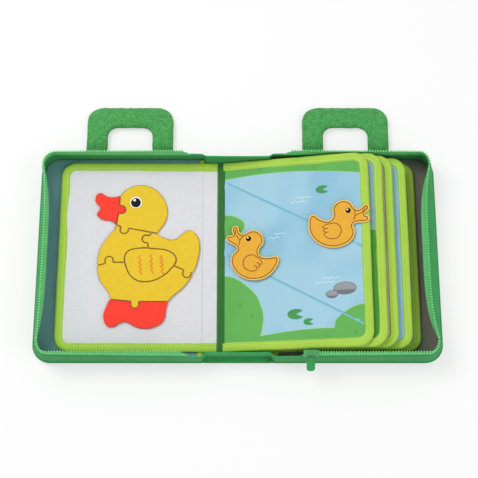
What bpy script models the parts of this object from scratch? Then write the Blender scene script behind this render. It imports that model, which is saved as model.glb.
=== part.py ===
# Cloth activity book lying open in its zip-round case, with two carry handles.
# Metres, +Z up. X runs across the open covers and Y from the front edge to the handles.
# The origin is the middle of the spine's outer face, which lies on the table.

import math

import bmesh
import bpy
from mathutils import Matrix, Vector

# Case: spine, covers and linings
SPINE_WIDTH = 0.076
COVER_WIDTH = 0.187
CASE_HEIGHT = 0.238
COVER_CORNER_RADIUS = 0.020
PANEL_THICKNESS = 0.004
PANEL_EDGE_ROUND = 0.0012
LINING_THICKNESS = 0.001
LINING_TAPE_WIDTH = 0.0052
LINING_TAPE_THICKNESS = 0.0006
CLEARANCE = 0.0003

# Case: walls and zip
WALL_THICKNESS = 0.0016
WALL_INSET = 0.0015
WALL_HEIGHT = 0.026
WALL_LEAN_SHARE = 0.08
WALL_SIDE_LEAN = 0.010
WALL_START = 0.002
WALL_DIP = 0.003
ZIP_TAPE_THICKNESS = 0.0008
ZIP_CORD_HEIGHT = 0.0012
TOOTH_HEIGHT = 0.0018
TOOTH_THICKNESS = 0.002
TOOTH_PITCH = 0.0034
TOOTH_WIDTH_SHARE = 0.5
LEFT_ZIP_START = 0.048
RIGHT_ZIP_START_FRONT = 0.032
RIGHT_ZIP_START_BACK = 0.018
CHAIN_MEETING_GAP = 0.0006
STRIP_THICKNESS = 0.0008
STRIP_TOP_DROP = 0.002

# Zip slider and its pull tab
SLIDER_LENGTH = 0.016
SLIDER_WALL = 0.0012
SLIDER_DEPTH = 0.0085
SLIDER_PLAY = 0.0006
SLIDER_REAR_SHARE = 0.6
BAIL_RADIUS = 0.0006
BAIL_LENGTH = 0.0084
BAIL_LUG = 0.0012
BAIL_LUG_HEIGHT = 0.0018
PULL_EYE_RADIUS = 0.0017
PULL_EYE_LENGTH = 0.0046
PULL_EYE_PLAY = 0.0004
PULL_LENGTH = 0.015
PULL_WIDTH = 0.009
PULL_THICKNESS = 0.0016
PULL_DROOP_DEG = 38.0
PULL_SHOULDER_SHARE = 0.3
PULL_END_ROUND_SHARE = 0.35

# Handles
HANDLE_CENTRE = 0.125
HANDLE_WIDTH = 0.101
HANDLE_REACH = 0.060
HANDLE_STRAP = 0.0255
HANDLE_THICKNESS = 0.009
HANDLE_END_THICKNESS = 0.0028
HANDLE_SWELL_LENGTH = 0.014
HANDLE_OUTER_RADIUS = 0.017
HANDLE_INNER_RADIUS = 0.009
HANDLE_FLOOR_GAP = 0.0005
HANDLE_SWELL_SHARES = (0, 0.3, 0.65, 1)
HANDLE_SIDES = 10

# Book block: gutter strips and leaves
PAGE_SIDE_ROOM = 0.00165
PAGE_END_ROOM = 0.0025
FORE_EDGE_ROOM = 0.0237
GUTTER_WIDTH = 0.011
GUTTER_THICKNESS = 0.001
HEM_THICKNESS = 0.001
HEM_WIDTH = 0.002
HEM_PLAY = 0.0004
FIRST_LEAF_SETBACK = 0.0012
LEAF_CORNER_RADIUS = 0.025
PAD_THICKNESS = 0.0038
PAD_ROOT_THICKNESS = 0.0008
BINDING_WIDTH = 0.0085
BINDING_CLOTH = 0.00045
BINDING_ROOT = 0.018
LEAF_AIR = 0.0003

# Puzzle on the first page
PUZZLE_WIDTH = 0.120
PUZZLE_HEIGHT = 0.166
PUZZLE_THICKNESS = 0.0024
PUZZLE_KERF = 0.0006
PUZZLE_KNOB_RADIUS = 0.0048
KNOB_REACH_SHARE = 0.9
KNOB_OPENING_DEG = 52
EYE_RADIUS = 0.0068
EYE_THICKNESS = 0.0006
PUZZLE_CENTRE_SHARES = (0.4120, 0.0)

# Felt ducks on the second page
DUCK_WIDTH = 0.068
DUCK_HEIGHT = 0.054
DUCK_THICKNESS = 0.002
DUCK_LIFT = 0.0009
SLIT_WIDTH = 0.0020
SLIT_PLAY = 0.0003
NECK_LENGTH = 0.010
FOOT_RADIUS = 0.005
FOOT_THICKNESS = 0.0006
DUCK_TRAVEL = 0.1
UPPER_SLIT_SHARES = ((0.10, 0.367), (0.90, 0.028))
LOWER_SLIT_SHARES = ((0.10, -0.015), (0.90, -0.358))
LEFT_DUCK_SHARE = 0.10
RIGHT_DUCK_SHARE = 0.87
LEFT_DUCK_TILT_DEG = -32.0
RIGHT_DUCK_TILT_DEG = 0.0

OVERRUN = 0.002
CORNER_STEPS = 6
KNOB_STEPS = 9
WELD_DISTANCE = 0.00001

# Values that follow from the sizes above
FOLD = SPINE_WIDTH / 2
COVER_REACH = FOLD + COVER_WIDTH
HALF_HEIGHT = CASE_HEIGHT / 2
LINING_BOTTOM = PANEL_THICKNESS + CLEARANCE
LINING_TOP = LINING_BOTTOM + LINING_THICKNESS
LINING_TAPE_TOP = LINING_TOP + CLEARANCE + LINING_TAPE_THICKNESS
CHAIN_TOP = PANEL_THICKNESS + FOLD - CHAIN_MEETING_GAP / 2
WALL_BOTTOM = PANEL_THICKNESS + CLEARANCE
WALL_TOP = WALL_BOTTOM + WALL_HEIGHT
CHAIN_BOTTOM = CHAIN_TOP - ZIP_CORD_HEIGHT - TOOTH_HEIGHT
WALL_LEAN = WALL_LEAN_SHARE * (CHAIN_TOP - PANEL_THICKNESS)
LEAN_AT_LINING = WALL_SIDE_LEAN * (LINING_TOP - PANEL_THICKNESS) / (CHAIN_TOP - PANEL_THICKNESS)
LINING_INSET = WALL_INSET + WALL_THICKNESS / 2 + LEAN_AT_LINING + CLEARANCE
ZIP_INNER_INSET = WALL_INSET + WALL_LEAN + TOOTH_THICKNESS / 2

BINDING_THICKNESS = PAD_THICKNESS + 2 * (CLEARANCE + BINDING_CLOTH)
LEAF_HALF_HEIGHT = HALF_HEIGHT - ZIP_INNER_INSET - PAGE_END_ROOM
FIRST_HINGE = FOLD - (LINING_TAPE_TOP - PANEL_THICKNESS) - BINDING_THICKNESS / 2 - PAGE_SIDE_ROOM
GUTTER_PITCH = FIRST_HINGE - GUTTER_WIDTH / 2
GUTTER_BOTTOM = LINING_TOP + CLEARANCE
GUTTER_TOP = GUTTER_BOTTOM + GUTTER_THICKNESS
HINGE_HEIGHT = GUTTER_TOP + HEM_THICKNESS
LEAF_LENGTH = COVER_REACH - FORE_EDGE_ROOM - FIRST_HINGE
FIRST_LEAF_SHIFT = FOLD + FIRST_LEAF_SETBACK - FIRST_HINGE
PAD_ROOT = HEM_WIDTH + HEM_PLAY

COLOURS = {
    "case cloth": (0.032, 0.352, 0.091),
    "zip tape": (0.013, 0.262, 0.068),
    "zip teeth": (0.102, 0.515, 0.156),
    "handle webbing": (0.070, 0.376, 0.091),
    "lime tape": (0.352, 0.577, 0.061),
    "white cloth": (0.716, 0.716, 0.753),
    "teal lining": (0.045, 0.102, 0.107),
    "grey lining": (0.061, 0.053, 0.048),
    "gutter cloth": (0.045, 0.262, 0.053),
    "pond cloth": (0.352, 0.597, 0.730),
    "meadow cloth": (0.115, 0.402, 0.084),
    "sky cloth": (0.262, 0.474, 0.645),
    "yellow felt": (0.831, 0.578, 0.026),
    "red felt": (1.0, 0.091, 0.038),
    "orange felt": (0.871, 0.456, 0.045),
    "eye white": (0.9, 0.9, 0.9),
}


def clear_scene():
    for existing in list(bpy.data.objects):
        bpy.data.objects.remove(existing, do_unlink=True)


def new_collection(name):
    collection = bpy.data.collections.new(name)
    bpy.context.scene.collection.children.link(collection)
    return collection


def cloth_material(name):
    material = bpy.data.materials.get(name)
    if material is None:
        material = bpy.data.materials.new(name)
        material.use_nodes = True
        shader = material.node_tree.nodes["Principled BSDF"]
        shader.inputs["Base Color"].default_value = (*COLOURS[name], 1.0)
        shader.inputs["Roughness"].default_value = 0.45 if name == "zip teeth" else 0.9
        shader.inputs["Metallic"].default_value = 0.0
    return material


def add_object(name, mesh, collection, material=None):
    piece = bpy.data.objects.new(name, mesh)
    collection.objects.link(piece)
    if material is not None:
        mesh.materials.clear()
        mesh.materials.append(cloth_material(material))
    return piece


def mesh_from_bmesh(name, shape):
    bmesh.ops.recalc_face_normals(shape, faces=shape.faces[:])
    mesh = bpy.data.meshes.new(name)
    shape.to_mesh(mesh)
    shape.free()
    return mesh


def move_points(mesh, move):
    for vertex in mesh.vertices:
        vertex.co = move(vertex.co)
    mesh.update()


def outward(mesh):
    # A mirrored or reshaped mesh gets its faces turned outwards again
    shape = bmesh.new()
    shape.from_mesh(mesh)
    bmesh.ops.recalc_face_normals(shape, faces=shape.faces[:])
    shape.to_mesh(mesh)
    shape.free()


def smooth_round(mesh):
    mesh.shade_smooth()
    mesh.set_sharp_from_angle(angle=math.radians(35))


def rounded_outline(corners):
    # Corners are (x, y, radius) in order; a zero radius stays sharp
    points = []
    for index, (x, y, radius) in enumerate(corners):
        here = Vector((x, y))
        if radius == 0:
            points.append(here)
            continue
        before = Vector(corners[index - 1][:2])
        after = Vector(corners[(index + 1) % len(corners)][:2])
        back = (before - here).normalized()
        on = (after - here).normalized()
        half = back.angle(on) / 2
        middle = here + (back + on).normalized() * (radius / math.sin(half))
        first = here + back * (radius / math.tan(half)) - middle
        last = here + on * (radius / math.tan(half)) - middle
        sweep = math.remainder(math.atan2(last.y, last.x) - math.atan2(first.y, first.x), math.tau)
        for step in range(CORNER_STEPS + 1):
            turn = Matrix.Rotation(sweep * step / CORNER_STEPS, 2)
            points.append(middle + turn @ first)
    return points


def flat_plate(name, outlines, thickness, kind="POLY", resolution=3):
    # A filled outline, lying in XY, half its thickness above and below
    curve = bpy.data.curves.new(name, "CURVE")
    curve.dimensions = "2D"
    curve.fill_mode = "BOTH"
    curve.extrude = thickness / 2
    curve.resolution_u = resolution
    curve.render_resolution_u = resolution
    for outline in outlines:
        spline = curve.splines.new(kind)
        spline.use_cyclic_u = True
        if kind == "BEZIER":
            spline.bezier_points.add(len(outline) - 1)
            for point, place in zip(spline.bezier_points, outline):
                point.co = (place[0], place[1], 0)
                point.handle_left_type = "AUTO"
                point.handle_right_type = "AUTO"
        else:
            spline.points.add(len(outline) - 1)
            for point, place in zip(spline.points, outline):
                point.co = (place[0], place[1], 0, 1)
    return curve_mesh(name, curve)


def curve_mesh(name, curve):
    holder = bpy.data.objects.new(name, curve)
    bpy.context.scene.collection.objects.link(holder)
    graph = bpy.context.evaluated_depsgraph_get()
    graph.update()
    mesh = bpy.data.meshes.new_from_object(holder.evaluated_get(graph))
    bpy.data.objects.remove(holder, do_unlink=True)
    bpy.data.curves.remove(curve)
    shape = bmesh.new()
    shape.from_mesh(mesh)
    bmesh.ops.remove_doubles(shape, verts=shape.verts[:], dist=WELD_DISTANCE)
    bmesh.ops.recalc_face_normals(shape, faces=shape.faces[:])
    shape.to_mesh(mesh)
    shape.free()
    mesh.name = name
    return mesh


def box_mesh(name, low, high):
    shape = bmesh.new()
    size = Vector(high) - Vector(low)
    middle = (Vector(high) + Vector(low)) / 2
    bmesh.ops.create_cube(shape, size=1)
    bmesh.ops.scale(shape, vec=size, verts=shape.verts[:])
    bmesh.ops.translate(shape, vec=middle, verts=shape.verts[:])
    return mesh_from_bmesh(name, shape)


def cylinder_mesh(name, radius, start, end, segments):
    shape = bmesh.new()
    axis = Vector(end) - Vector(start)
    place = Matrix.Translation((Vector(start) + Vector(end)) / 2) @ axis.to_track_quat("Z", "Y").to_matrix().to_4x4()
    bmesh.ops.create_cone(shape, cap_ends=True, segments=segments, radius1=radius, radius2=radius,
                          depth=axis.length, matrix=place)
    return mesh_from_bmesh(name, shape)


def boolean(piece, other_mesh, operation, cutters):
    # The cutter is kept beside the part as a guide, hidden from renders
    cutter = add_object(piece.name + "_cutter", other_mesh, cutters)
    cutter.hide_render = True
    cutter.display_type = "WIRE"
    cutter.matrix_world = piece.matrix_world
    change = piece.modifiers.new(operation.lower(), "BOOLEAN")
    change.operation = operation
    change.solver = "EXACT"
    change.object = cutter
    return change


def apply_modifiers(piece):
    graph = bpy.context.evaluated_depsgraph_get()
    graph.update()
    finished = bpy.data.meshes.new_from_object(piece.evaluated_get(graph))
    piece.modifiers.clear()
    piece.data = finished


def add_round_edges(piece, width, segments=2):
    bevel = piece.modifiers.new("round edges", "BEVEL")
    bevel.width = width
    bevel.segments = segments
    bevel.limit_method = "ANGLE"
    bevel.angle_limit = math.radians(50)
    return bevel


class Edge:
    """Three sides of a rounded cover or leaf, from its front root round to its back root."""

    def __init__(self, start, reach, half, radius):
        self.start, self.reach, self.half, self.radius = start, reach, half, radius
        self.run = reach - radius - start
        self.arc = radius * math.pi / 2
        self.side = 2 * (half - radius)
        self.length = 2 * self.run + 2 * self.arc + self.side

    def at(self, travel):
        # Place on the edge and the direction straight into the sheet
        if travel <= self.run:
            return Vector((self.start + travel, -self.half)), Vector((0, 1))
        travel -= self.run
        if travel <= self.arc:
            turn = travel / self.radius
            away = Vector((math.sin(turn), -math.cos(turn)))
            return Vector((self.reach - self.radius, self.radius - self.half)) + away * self.radius, -away
        travel -= self.arc
        if travel <= self.side:
            return Vector((self.reach, self.radius - self.half + travel)), Vector((-1, 0))
        travel -= self.side
        if travel <= self.arc:
            turn = travel / self.radius
            away = Vector((math.cos(turn), math.sin(turn)))
            return Vector((self.reach - self.radius, self.half - self.radius)) + away * self.radius, -away
        travel -= self.arc
        return Vector((self.reach - self.radius - travel, self.half)), Vector((0, -1))

    def stations(self, first, last):
        # The two ends and evenly spaced places round each corner
        places = [first, last]
        for corner in (self.run, self.run + self.arc + self.side):
            places += [corner + self.arc * step / CORNER_STEPS for step in range(CORNER_STEPS + 1)]
        return sorted({place for place in places if first <= place <= last})


def plain_spot(place, inward, inset, height):
    return place + inward * inset


def wall_spot(place, inward, offset, height):
    # Walls lean inwards evenly from the panel to the top of the teeth, further on the fore edge side
    share = (height - PANEL_THICKNESS) / (CHAIN_TOP - PANEL_THICKNESS)
    lean = Vector((inward.x * WALL_SIDE_LEAN, inward.y * WALL_LEAN)) * share
    return place + inward * (WALL_INSET + offset) + lean


def sweep_profile(name, edge, travels, profile, spot_at=plain_spot):
    # profile(travel, place) gives closed (inset, height) pairs, the same number everywhere
    shape = bmesh.new()
    rings = []
    for travel in travels:
        place, inward = edge.at(travel)
        ring = []
        for inset, height in profile(travel, place):
            spot = spot_at(place, inward, inset, height)
            ring.append(shape.verts.new((spot.x, spot.y, height)))
        rings.append(ring)
    for ring, following in zip(rings, rings[1:]):
        for index in range(len(ring)):
            after = (index + 1) % len(ring)
            shape.faces.new((ring[index], ring[after], following[after], following[index]))
    shape.faces.new(rings[0])
    shape.faces.new(reversed(rings[-1]))
    return mesh_from_bmesh(name, shape)


def cover_edge():
    # Measured from the fold line: the cover's own outline
    return Edge(CLEARANCE, COVER_WIDTH, HALF_HEIGHT, COVER_CORNER_RADIUS)


def wall_inset(height):
    # How far in the front and back walls stand at a height
    return WALL_INSET + WALL_LEAN * (height - PANEL_THICKNESS) / (CHAIN_TOP - PANEL_THICKNESS)


def onto_cover(mesh, side):
    # side is -1 for the left cover and 1 for the right one
    move_points(mesh, lambda co: Vector((side * (FOLD + co.x), co.y, co.z)))
    outward(mesh)


def cover_plate(name, inner, inset, bottom, thickness):
    edge_radius = COVER_CORNER_RADIUS - inset
    reach = COVER_WIDTH - inset
    half = HALF_HEIGHT - inset
    outline = rounded_outline([(inner, -half, 0), (reach, -half, edge_radius),
                               (reach, half, edge_radius), (inner, half, 0)])
    mesh = flat_plate(name, [outline], thickness)
    move_points(mesh, lambda co: co + Vector((0, 0, bottom + thickness / 2)))
    return mesh


def wall_mesh(name, front_start, back_start):
    edge = cover_edge()

    def profile(travel, place):
        # Past the ends of the zip the wall dips a little towards the spine
        start = front_start if place.y < 0 else back_start
        plain = max(0.0, 1 - place.x / start)
        top = WALL_TOP - WALL_DIP * plain
        half = WALL_THICKNESS / 2
        return [(-half, WALL_BOTTOM), (half, WALL_BOTTOM), (half, top), (-half, top)]

    stations = edge.stations(WALL_START, edge.length - WALL_START)
    stations += [front_start, edge.length - back_start]
    return sweep_profile(name, edge, sorted(stations), profile, wall_spot)


def tape_mesh(name, first, last):
    edge = cover_edge()
    low, high = WALL_TOP + CLEARANCE, CHAIN_BOTTOM - CLEARANCE
    half = ZIP_TAPE_THICKNESS / 2
    section = [(-half, low), (half, low), (half, high), (-half, high)]
    return sweep_profile(name, edge, edge.stations(first, last), lambda travel, place: section, wall_spot)


def chain_mesh(name, first, last):
    # One moulded comb: a cord along the tape's edge with a tooth at every pitch
    edge = cover_edge()
    shape = bmesh.new()
    cord_top = CHAIN_BOTTOM + ZIP_CORD_HEIGHT
    teeth = int((last - first) / TOOTH_PITCH)
    spare = (last - first) - teeth * TOOTH_PITCH

    def column(travel, heights):
        place, inward = edge.at(travel)
        points = []
        for height in heights:
            spot = wall_spot(place, inward, 0, height)
            points.append(shape.verts.new((spot.x, spot.y, height)))
        return points

    full = (CHAIN_BOTTOM, cord_top, CHAIN_TOP)
    start = first + spare / 2
    root = column(start, full)
    for tooth in range(teeth):
        base = start + tooth * TOOTH_PITCH
        flank = column(base + TOOTH_PITCH * TOOTH_WIDTH_SHARE, (cord_top, CHAIN_TOP))
        end = column(base + TOOTH_PITCH, full if tooth < teeth - 1 else full[:2])
        shape.faces.new((root[0], end[0], end[1], flank[0], flank[1], root[2], root[1]))
        root = end
    return mesh_from_bmesh(name, shape)


def build_cover(side, collection, cutters):
    word = "left" if side < 0 else "right"
    panel = cover_plate(word + "_cover_panel", CLEARANCE, 0, 0, PANEL_THICKNESS)
    onto_cover(panel, side)
    board = add_object(word + "_cover_panel", panel, collection, "case cloth")
    add_round_edges(board, PANEL_EDGE_ROUND, segments=1)

    lining_inner = LINING_TAPE_THICKNESS + 4 * CLEARANCE
    lining = cover_plate(word + "_cover_lining", lining_inner, LINING_INSET, LINING_BOTTOM, LINING_THICKNESS)
    onto_cover(lining, side)
    add_object(word + "_cover_lining", lining, collection, "teal lining" if side < 0 else "grey lining")

    # The tape is an L: a flat leg on the lining and a short leg down its spine-side edge
    near = CLEARANCE + CLEARANCE / 2
    section = [(near, LINING_BOTTOM), (near + LINING_TAPE_THICKNESS, LINING_BOTTOM),
               (near + LINING_TAPE_THICKNESS, LINING_TOP + CLEARANCE),
               (near + LINING_TAPE_WIDTH, LINING_TOP + CLEARANCE),
               (near + LINING_TAPE_WIDTH, LINING_TAPE_TOP), (near, LINING_TAPE_TOP)]
    half = HALF_HEIGHT - LINING_INSET
    tape = flat_plate(word + "_lining_binding", [section], 2 * half)
    move_points(tape, lambda co: Vector((co.x, co.z, co.y)))
    onto_cover(tape, side)
    add_object(word + "_lining_binding", tape, collection, "lime tape")

    front = LEFT_ZIP_START if side < 0 else RIGHT_ZIP_START_FRONT
    back = LEFT_ZIP_START if side < 0 else RIGHT_ZIP_START_BACK
    wall = wall_mesh(word + "_gusset", front, back)
    onto_cover(wall, side)
    add_object(word + "_gusset", wall, collection, "case cloth")

    length = cover_edge().length
    zip_tape = tape_mesh(word + "_zip_tape", front, length - back)
    onto_cover(zip_tape, side)
    add_object(word + "_zip_tape", zip_tape, collection, "zip tape")

    chain = chain_mesh(word + "_zip_chain", front, length - back)
    onto_cover(chain, side)
    comb = add_object(word + "_zip_chain", chain, collection, "zip teeth")
    body = comb.modifiers.new("tooth thickness", "SOLIDIFY")
    body.thickness = TOOTH_THICKNESS
    body.offset = 0

    hinge = bpy.data.objects.new(word + "_cover_fold_axis", None)
    hinge.location = (side * FOLD, 0, PANEL_THICKNESS)
    hinge.rotation_euler = (math.radians(90), 0, 0)
    collection.objects.link(hinge)


def build_spine(collection):
    half = HALF_HEIGHT
    inner = FOLD - CLEARANCE
    panel = add_object("spine_panel", box_mesh("spine_panel", (-inner, -half, 0), (inner, half, PANEL_THICKNESS)),
                       collection, "case cloth")
    add_round_edges(panel, PANEL_EDGE_ROUND, segments=1)

    # Lining and end strips stay clear of the cover linings when the covers stand up
    clear_half = FOLD - (LINING_TAPE_TOP - PANEL_THICKNESS) - 2 * CLEARANCE
    lining_half = HALF_HEIGHT - LINING_INSET
    lining = box_mesh("spine_lining", (-clear_half, -lining_half, LINING_BOTTOM), (clear_half, lining_half, LINING_TOP))
    strip_inner = LEAF_HALF_HEIGHT + CLEARANCE * 3
    strip_outer = strip_inner + STRIP_THICKNESS
    strip_bottom = LINING_TOP + CLEARANCE
    strip_top = WALL_TOP - STRIP_TOP_DROP
    add_object("spine_lining", lining, collection, "case cloth")
    for name, sign in (("front_gusset_strip", -1), ("back_gusset_strip", 1)):
        outline = [(-clear_half, strip_bottom), (clear_half, strip_bottom), (clear_half, strip_top),
                   (-clear_half, strip_top)]
        strip = flat_plate(name, [outline], STRIP_THICKNESS)
        middle = sign * (strip_inner + strip_outer) / 2
        move_points(strip, lambda co: Vector((co.x, middle + co.z, co.y)))
        outward(strip)
        add_object(name, strip, collection, "case cloth")


def build_gutter_strips(collection):
    half = LEAF_HALF_HEIGHT - CLEARANCE
    for name, place in (("left_gutter_strip", -1), ("middle_gutter_strip", 0), ("right_gutter_strip", 1)):
        middle = place * GUTTER_PITCH
        low = (middle - GUTTER_WIDTH / 2, -half, GUTTER_BOTTOM)
        high = (middle + GUTTER_WIDTH / 2, half, GUTTER_TOP)
        strip = add_object(name, box_mesh(name, low, high), collection, "gutter cloth")
        add_round_edges(strip, GUTTER_THICKNESS / 3, segments=1)


def pad_thickness(distance):
    # A leaf is thin where it is sewn in and full at its fore edge
    share = distance / LEAF_LENGTH
    return PAD_ROOT_THICKNESS + (PAD_THICKNESS - PAD_ROOT_THICKNESS) * share


def binding_half(distance):
    return pad_thickness(distance) / 2 + CLEARANCE + BINDING_CLOTH


def leaf_hinges():
    half = GUTTER_WIDTH / 2
    return [-GUTTER_PITCH - half, -GUTTER_PITCH + half, -half, half, GUTTER_PITCH - half, GUTTER_PITCH + half]


def leaf_axis(leaf):
    return -FOLD - FIRST_LEAF_SETBACK if leaf == 1 else leaf_hinges()[leaf - 1]


def rest_angles():
    # Each leaf rests on the one below it, from the last leaf on the lining up to the second
    hinges = leaf_hinges()
    flat_rise = LINING_TAPE_TOP + CLEARANCE + BINDING_THICKNESS / 2 - HINGE_HEIGHT
    flat = math.asin(flat_rise / LEAF_LENGTH)
    angles = {1: flat, 6: flat}
    for leaf in (5, 4, 3, 2):
        own, lower = hinges[leaf - 1], hinges[leaf]
        slope = angles[leaf + 1]
        needed = slope
        for distance in (BINDING_ROOT, LEAF_LENGTH - (lower - own)):
            x = lower + distance * math.cos(slope)
            reach = (x - own) / math.cos(slope)
            apart = binding_half(distance) + binding_half(reach) + CLEARANCE + LEAF_AIR
            height = distance * math.sin(slope) + apart / math.cos(slope)
            needed = max(needed, math.atan2(height, x - own))
        angles[leaf] = needed
    return angles


def place_leaf(piece, leaf):
    # Leaves are modelled flat along +X from their hinge, then tilted and set in place
    angle = rest_angles()[leaf]
    side = -1 if leaf == 1 else 1
    height = HINGE_HEIGHT
    if side < 0:
        # The first leaf turns just past the fold, so it goes with the left cover
        move_points(piece.data, lambda co: Vector((FIRST_LEAF_SHIFT - co.x, co.y, co.z)))
        outward(piece.data)
        height += FIRST_LEAF_SHIFT * math.sin(angle)
    piece.location = (leaf_axis(leaf), 0, height)
    piece.rotation_euler = (0, -side * angle, 0)


def leaf_pad_mesh(name, root):
    inset = BINDING_CLOTH + CLEARANCE
    reach, half = LEAF_LENGTH - inset, LEAF_HALF_HEIGHT - inset
    radius = LEAF_CORNER_RADIUS - inset
    outline = rounded_outline([(root, -half, 0), (reach, -half, radius), (reach, half, radius),
                               (root, half, 0)])
    mesh = flat_plate(name, [outline], PAD_THICKNESS)
    move_points(mesh, lambda co: Vector((co.x, co.y, co.z * pad_thickness(co.x) / PAD_THICKNESS)))
    return mesh


def leaf_binding_mesh(name):
    edge = Edge(BINDING_ROOT, LEAF_LENGTH, LEAF_HALF_HEIGHT, LEAF_CORNER_RADIUS)
    shape_insets = ((0, 1, 0), (BINDING_WIDTH, 1, 0), (BINDING_WIDTH, 1, 1), (BINDING_CLOTH, 1, 1))

    def profile(travel, place):
        inward = edge.at(travel)[1]
        upper = []
        for inset, sign, cloth in shape_insets:
            distance = place.x + inward.x * inset
            upper.append((inset, binding_half(distance) - cloth * BINDING_CLOTH))
        return upper + [(inset, -height) for inset, height in reversed(upper)]

    return sweep_profile(name, edge, edge.stations(0, edge.length), profile)


def slit_ends(shares):
    return [Vector((u * LEAF_LENGTH, v * 2 * LEAF_HALF_HEIGHT)) for u, v in shares]


def slit_cutter(name, shares):
    first, last = slit_ends(shares)
    along = (last - first).normalized()
    across = Vector((-along.y, along.x)) * SLIT_WIDTH / 2
    outline = [first - across, last - across, last + across, first + across]
    return flat_plate(name, [outline], PAD_THICKNESS + OVERRUN)


def build_leaves(collection, cutters):
    cloths = {1: "white cloth", 2: "pond cloth", 3: "meadow cloth", 4: "sky cloth", 5: "sky cloth",
              6: "white cloth"}
    for leaf in range(1, 7):
        hem_low = (-HEM_THICKNESS / 2, -LEAF_HALF_HEIGHT + CLEARANCE, -HEM_THICKNESS / 2)
        hem_high = (HEM_WIDTH, LEAF_HALF_HEIGHT - CLEARANCE, HEM_THICKNESS / 2)
        name = "leaf_%d_hem" % leaf
        hem = add_object(name, box_mesh(name, hem_low, hem_high), collection, "gutter cloth")
        if leaf == 1:
            move_points(hem.data, lambda co: Vector((-co.x, co.y, co.z)))
            outward(hem.data)
            hem.location = (leaf_hinges()[0] - CLEARANCE - HEM_THICKNESS / 2, 0, GUTTER_TOP - HEM_THICKNESS / 2)
        else:
            place_leaf(hem, leaf)

        name = "leaf_%d_pad" % leaf
        root = PAD_ROOT + (FIRST_LEAF_SHIFT if leaf == 1 else 0)
        pad = add_object(name, leaf_pad_mesh(name, root), collection, cloths[leaf])
        place_leaf(pad, leaf)
        if leaf == 2:
            bpy.context.view_layer.update()
            boolean(pad, slit_cutter("upper_slit", UPPER_SLIT_SHARES), "DIFFERENCE", cutters)
            boolean(pad, slit_cutter("lower_slit", LOWER_SLIT_SHARES), "DIFFERENCE", cutters)

        name = "leaf_%d_binding" % leaf
        binding = add_object(name, leaf_binding_mesh(name), collection, "lime tape")
        place_leaf(binding, leaf)

        axis = bpy.data.objects.new("leaf_%d_axis" % leaf, None)
        axis.location = (leaf_axis(leaf), 0, HINGE_HEIGHT)
        collection.objects.link(axis)


def build_handle(side, collection):
    word = "left" if side < 0 else "right"
    half, inner = HANDLE_WIDTH / 2, HANDLE_WIDTH / 2 - HANDLE_STRAP
    top, inner_top = HANDLE_REACH, HANDLE_REACH - HANDLE_STRAP
    round_end = HANDLE_END_THICKNESS / 2

    def rail(width, height, radius):
        # Half of a U, from its sewn end round the corner to the middle of the grip
        points = [Vector((width, share * HANDLE_SWELL_LENGTH)) for share in HANDLE_SWELL_SHARES]
        for step in range(CORNER_STEPS + 1):
            turn = math.pi / 2 * step / CORNER_STEPS
            points.append(Vector((width - radius + radius * math.cos(turn),
                                  height - radius + radius * math.sin(turn))))
        points.append(Vector((0, height)))
        return points

    outer_rail = rail(half, top, HANDLE_OUTER_RADIUS)
    inner_rail = rail(inner, inner_top, HANDLE_INNER_RADIUS)
    pairs = [(Vector((half, -round_end)), Vector((inner, -round_end)))] + list(zip(outer_rail, inner_rail))
    pairs += [(Vector((-a.x, a.y)), Vector((-b.x, b.y))) for a, b in reversed(pairs[:-1])]

    shape = bmesh.new()
    rings = []
    for outer, inner_point in pairs:
        middle, reach = (outer + inner_point) / 2, (outer - inner_point) / 2
        swell = min(1.0, max(0.0, middle.y / HANDLE_SWELL_LENGTH))
        thick = HANDLE_END_THICKNESS + (HANDLE_THICKNESS - HANDLE_END_THICKNESS) * math.sin(swell * math.pi / 2)
        if middle.y < 0:
            thick = thick / 2
        lift = max(thick, HANDLE_END_THICKNESS) / 2 - HANDLE_END_THICKNESS / 2
        ring = []
        for index in range(HANDLE_SIDES):
            turn = math.tau * (index + 0.5) / HANDLE_SIDES
            along = math.copysign(abs(math.cos(turn)) ** 0.5, math.cos(turn))
            up = math.copysign(abs(math.sin(turn)) ** 0.7, math.sin(turn))
            spot = middle + reach * along
            ring.append(shape.verts.new((spot.x, spot.y, lift + up * thick / 2)))
        rings.append(ring)
    for ring, following in zip(rings, rings[1:]):
        for index in range(HANDLE_SIDES):
            after = (index + 1) % HANDLE_SIDES
            shape.faces.new((ring[index], ring[after], following[after], following[index]))
    shape.faces.new(rings[0])
    shape.faces.new(reversed(rings[-1]))
    mesh = mesh_from_bmesh(word + "_handle", shape)
    smooth_round(mesh)
    handle = add_object(word + "_handle", mesh, collection, "handle webbing")
    handle.location = (side * HANDLE_CENTRE, HALF_HEIGHT + CLEARANCE + round_end,
                       HANDLE_END_THICKNESS / 2 + HANDLE_FLOOR_GAP)


def slider_frame():
    # The slider sits astride the right chain on the front wall, tilted with the wall
    middle = CHAIN_TOP - SLIDER_DEPTH / 2
    place = Vector((FOLD + RIGHT_ZIP_START_FRONT + SLIDER_LENGTH / 2, wall_inset(middle) - HALF_HEIGHT, middle))
    lean = math.atan2(WALL_LEAN, CHAIN_TOP - PANEL_THICKNESS)
    return place, lean


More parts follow.
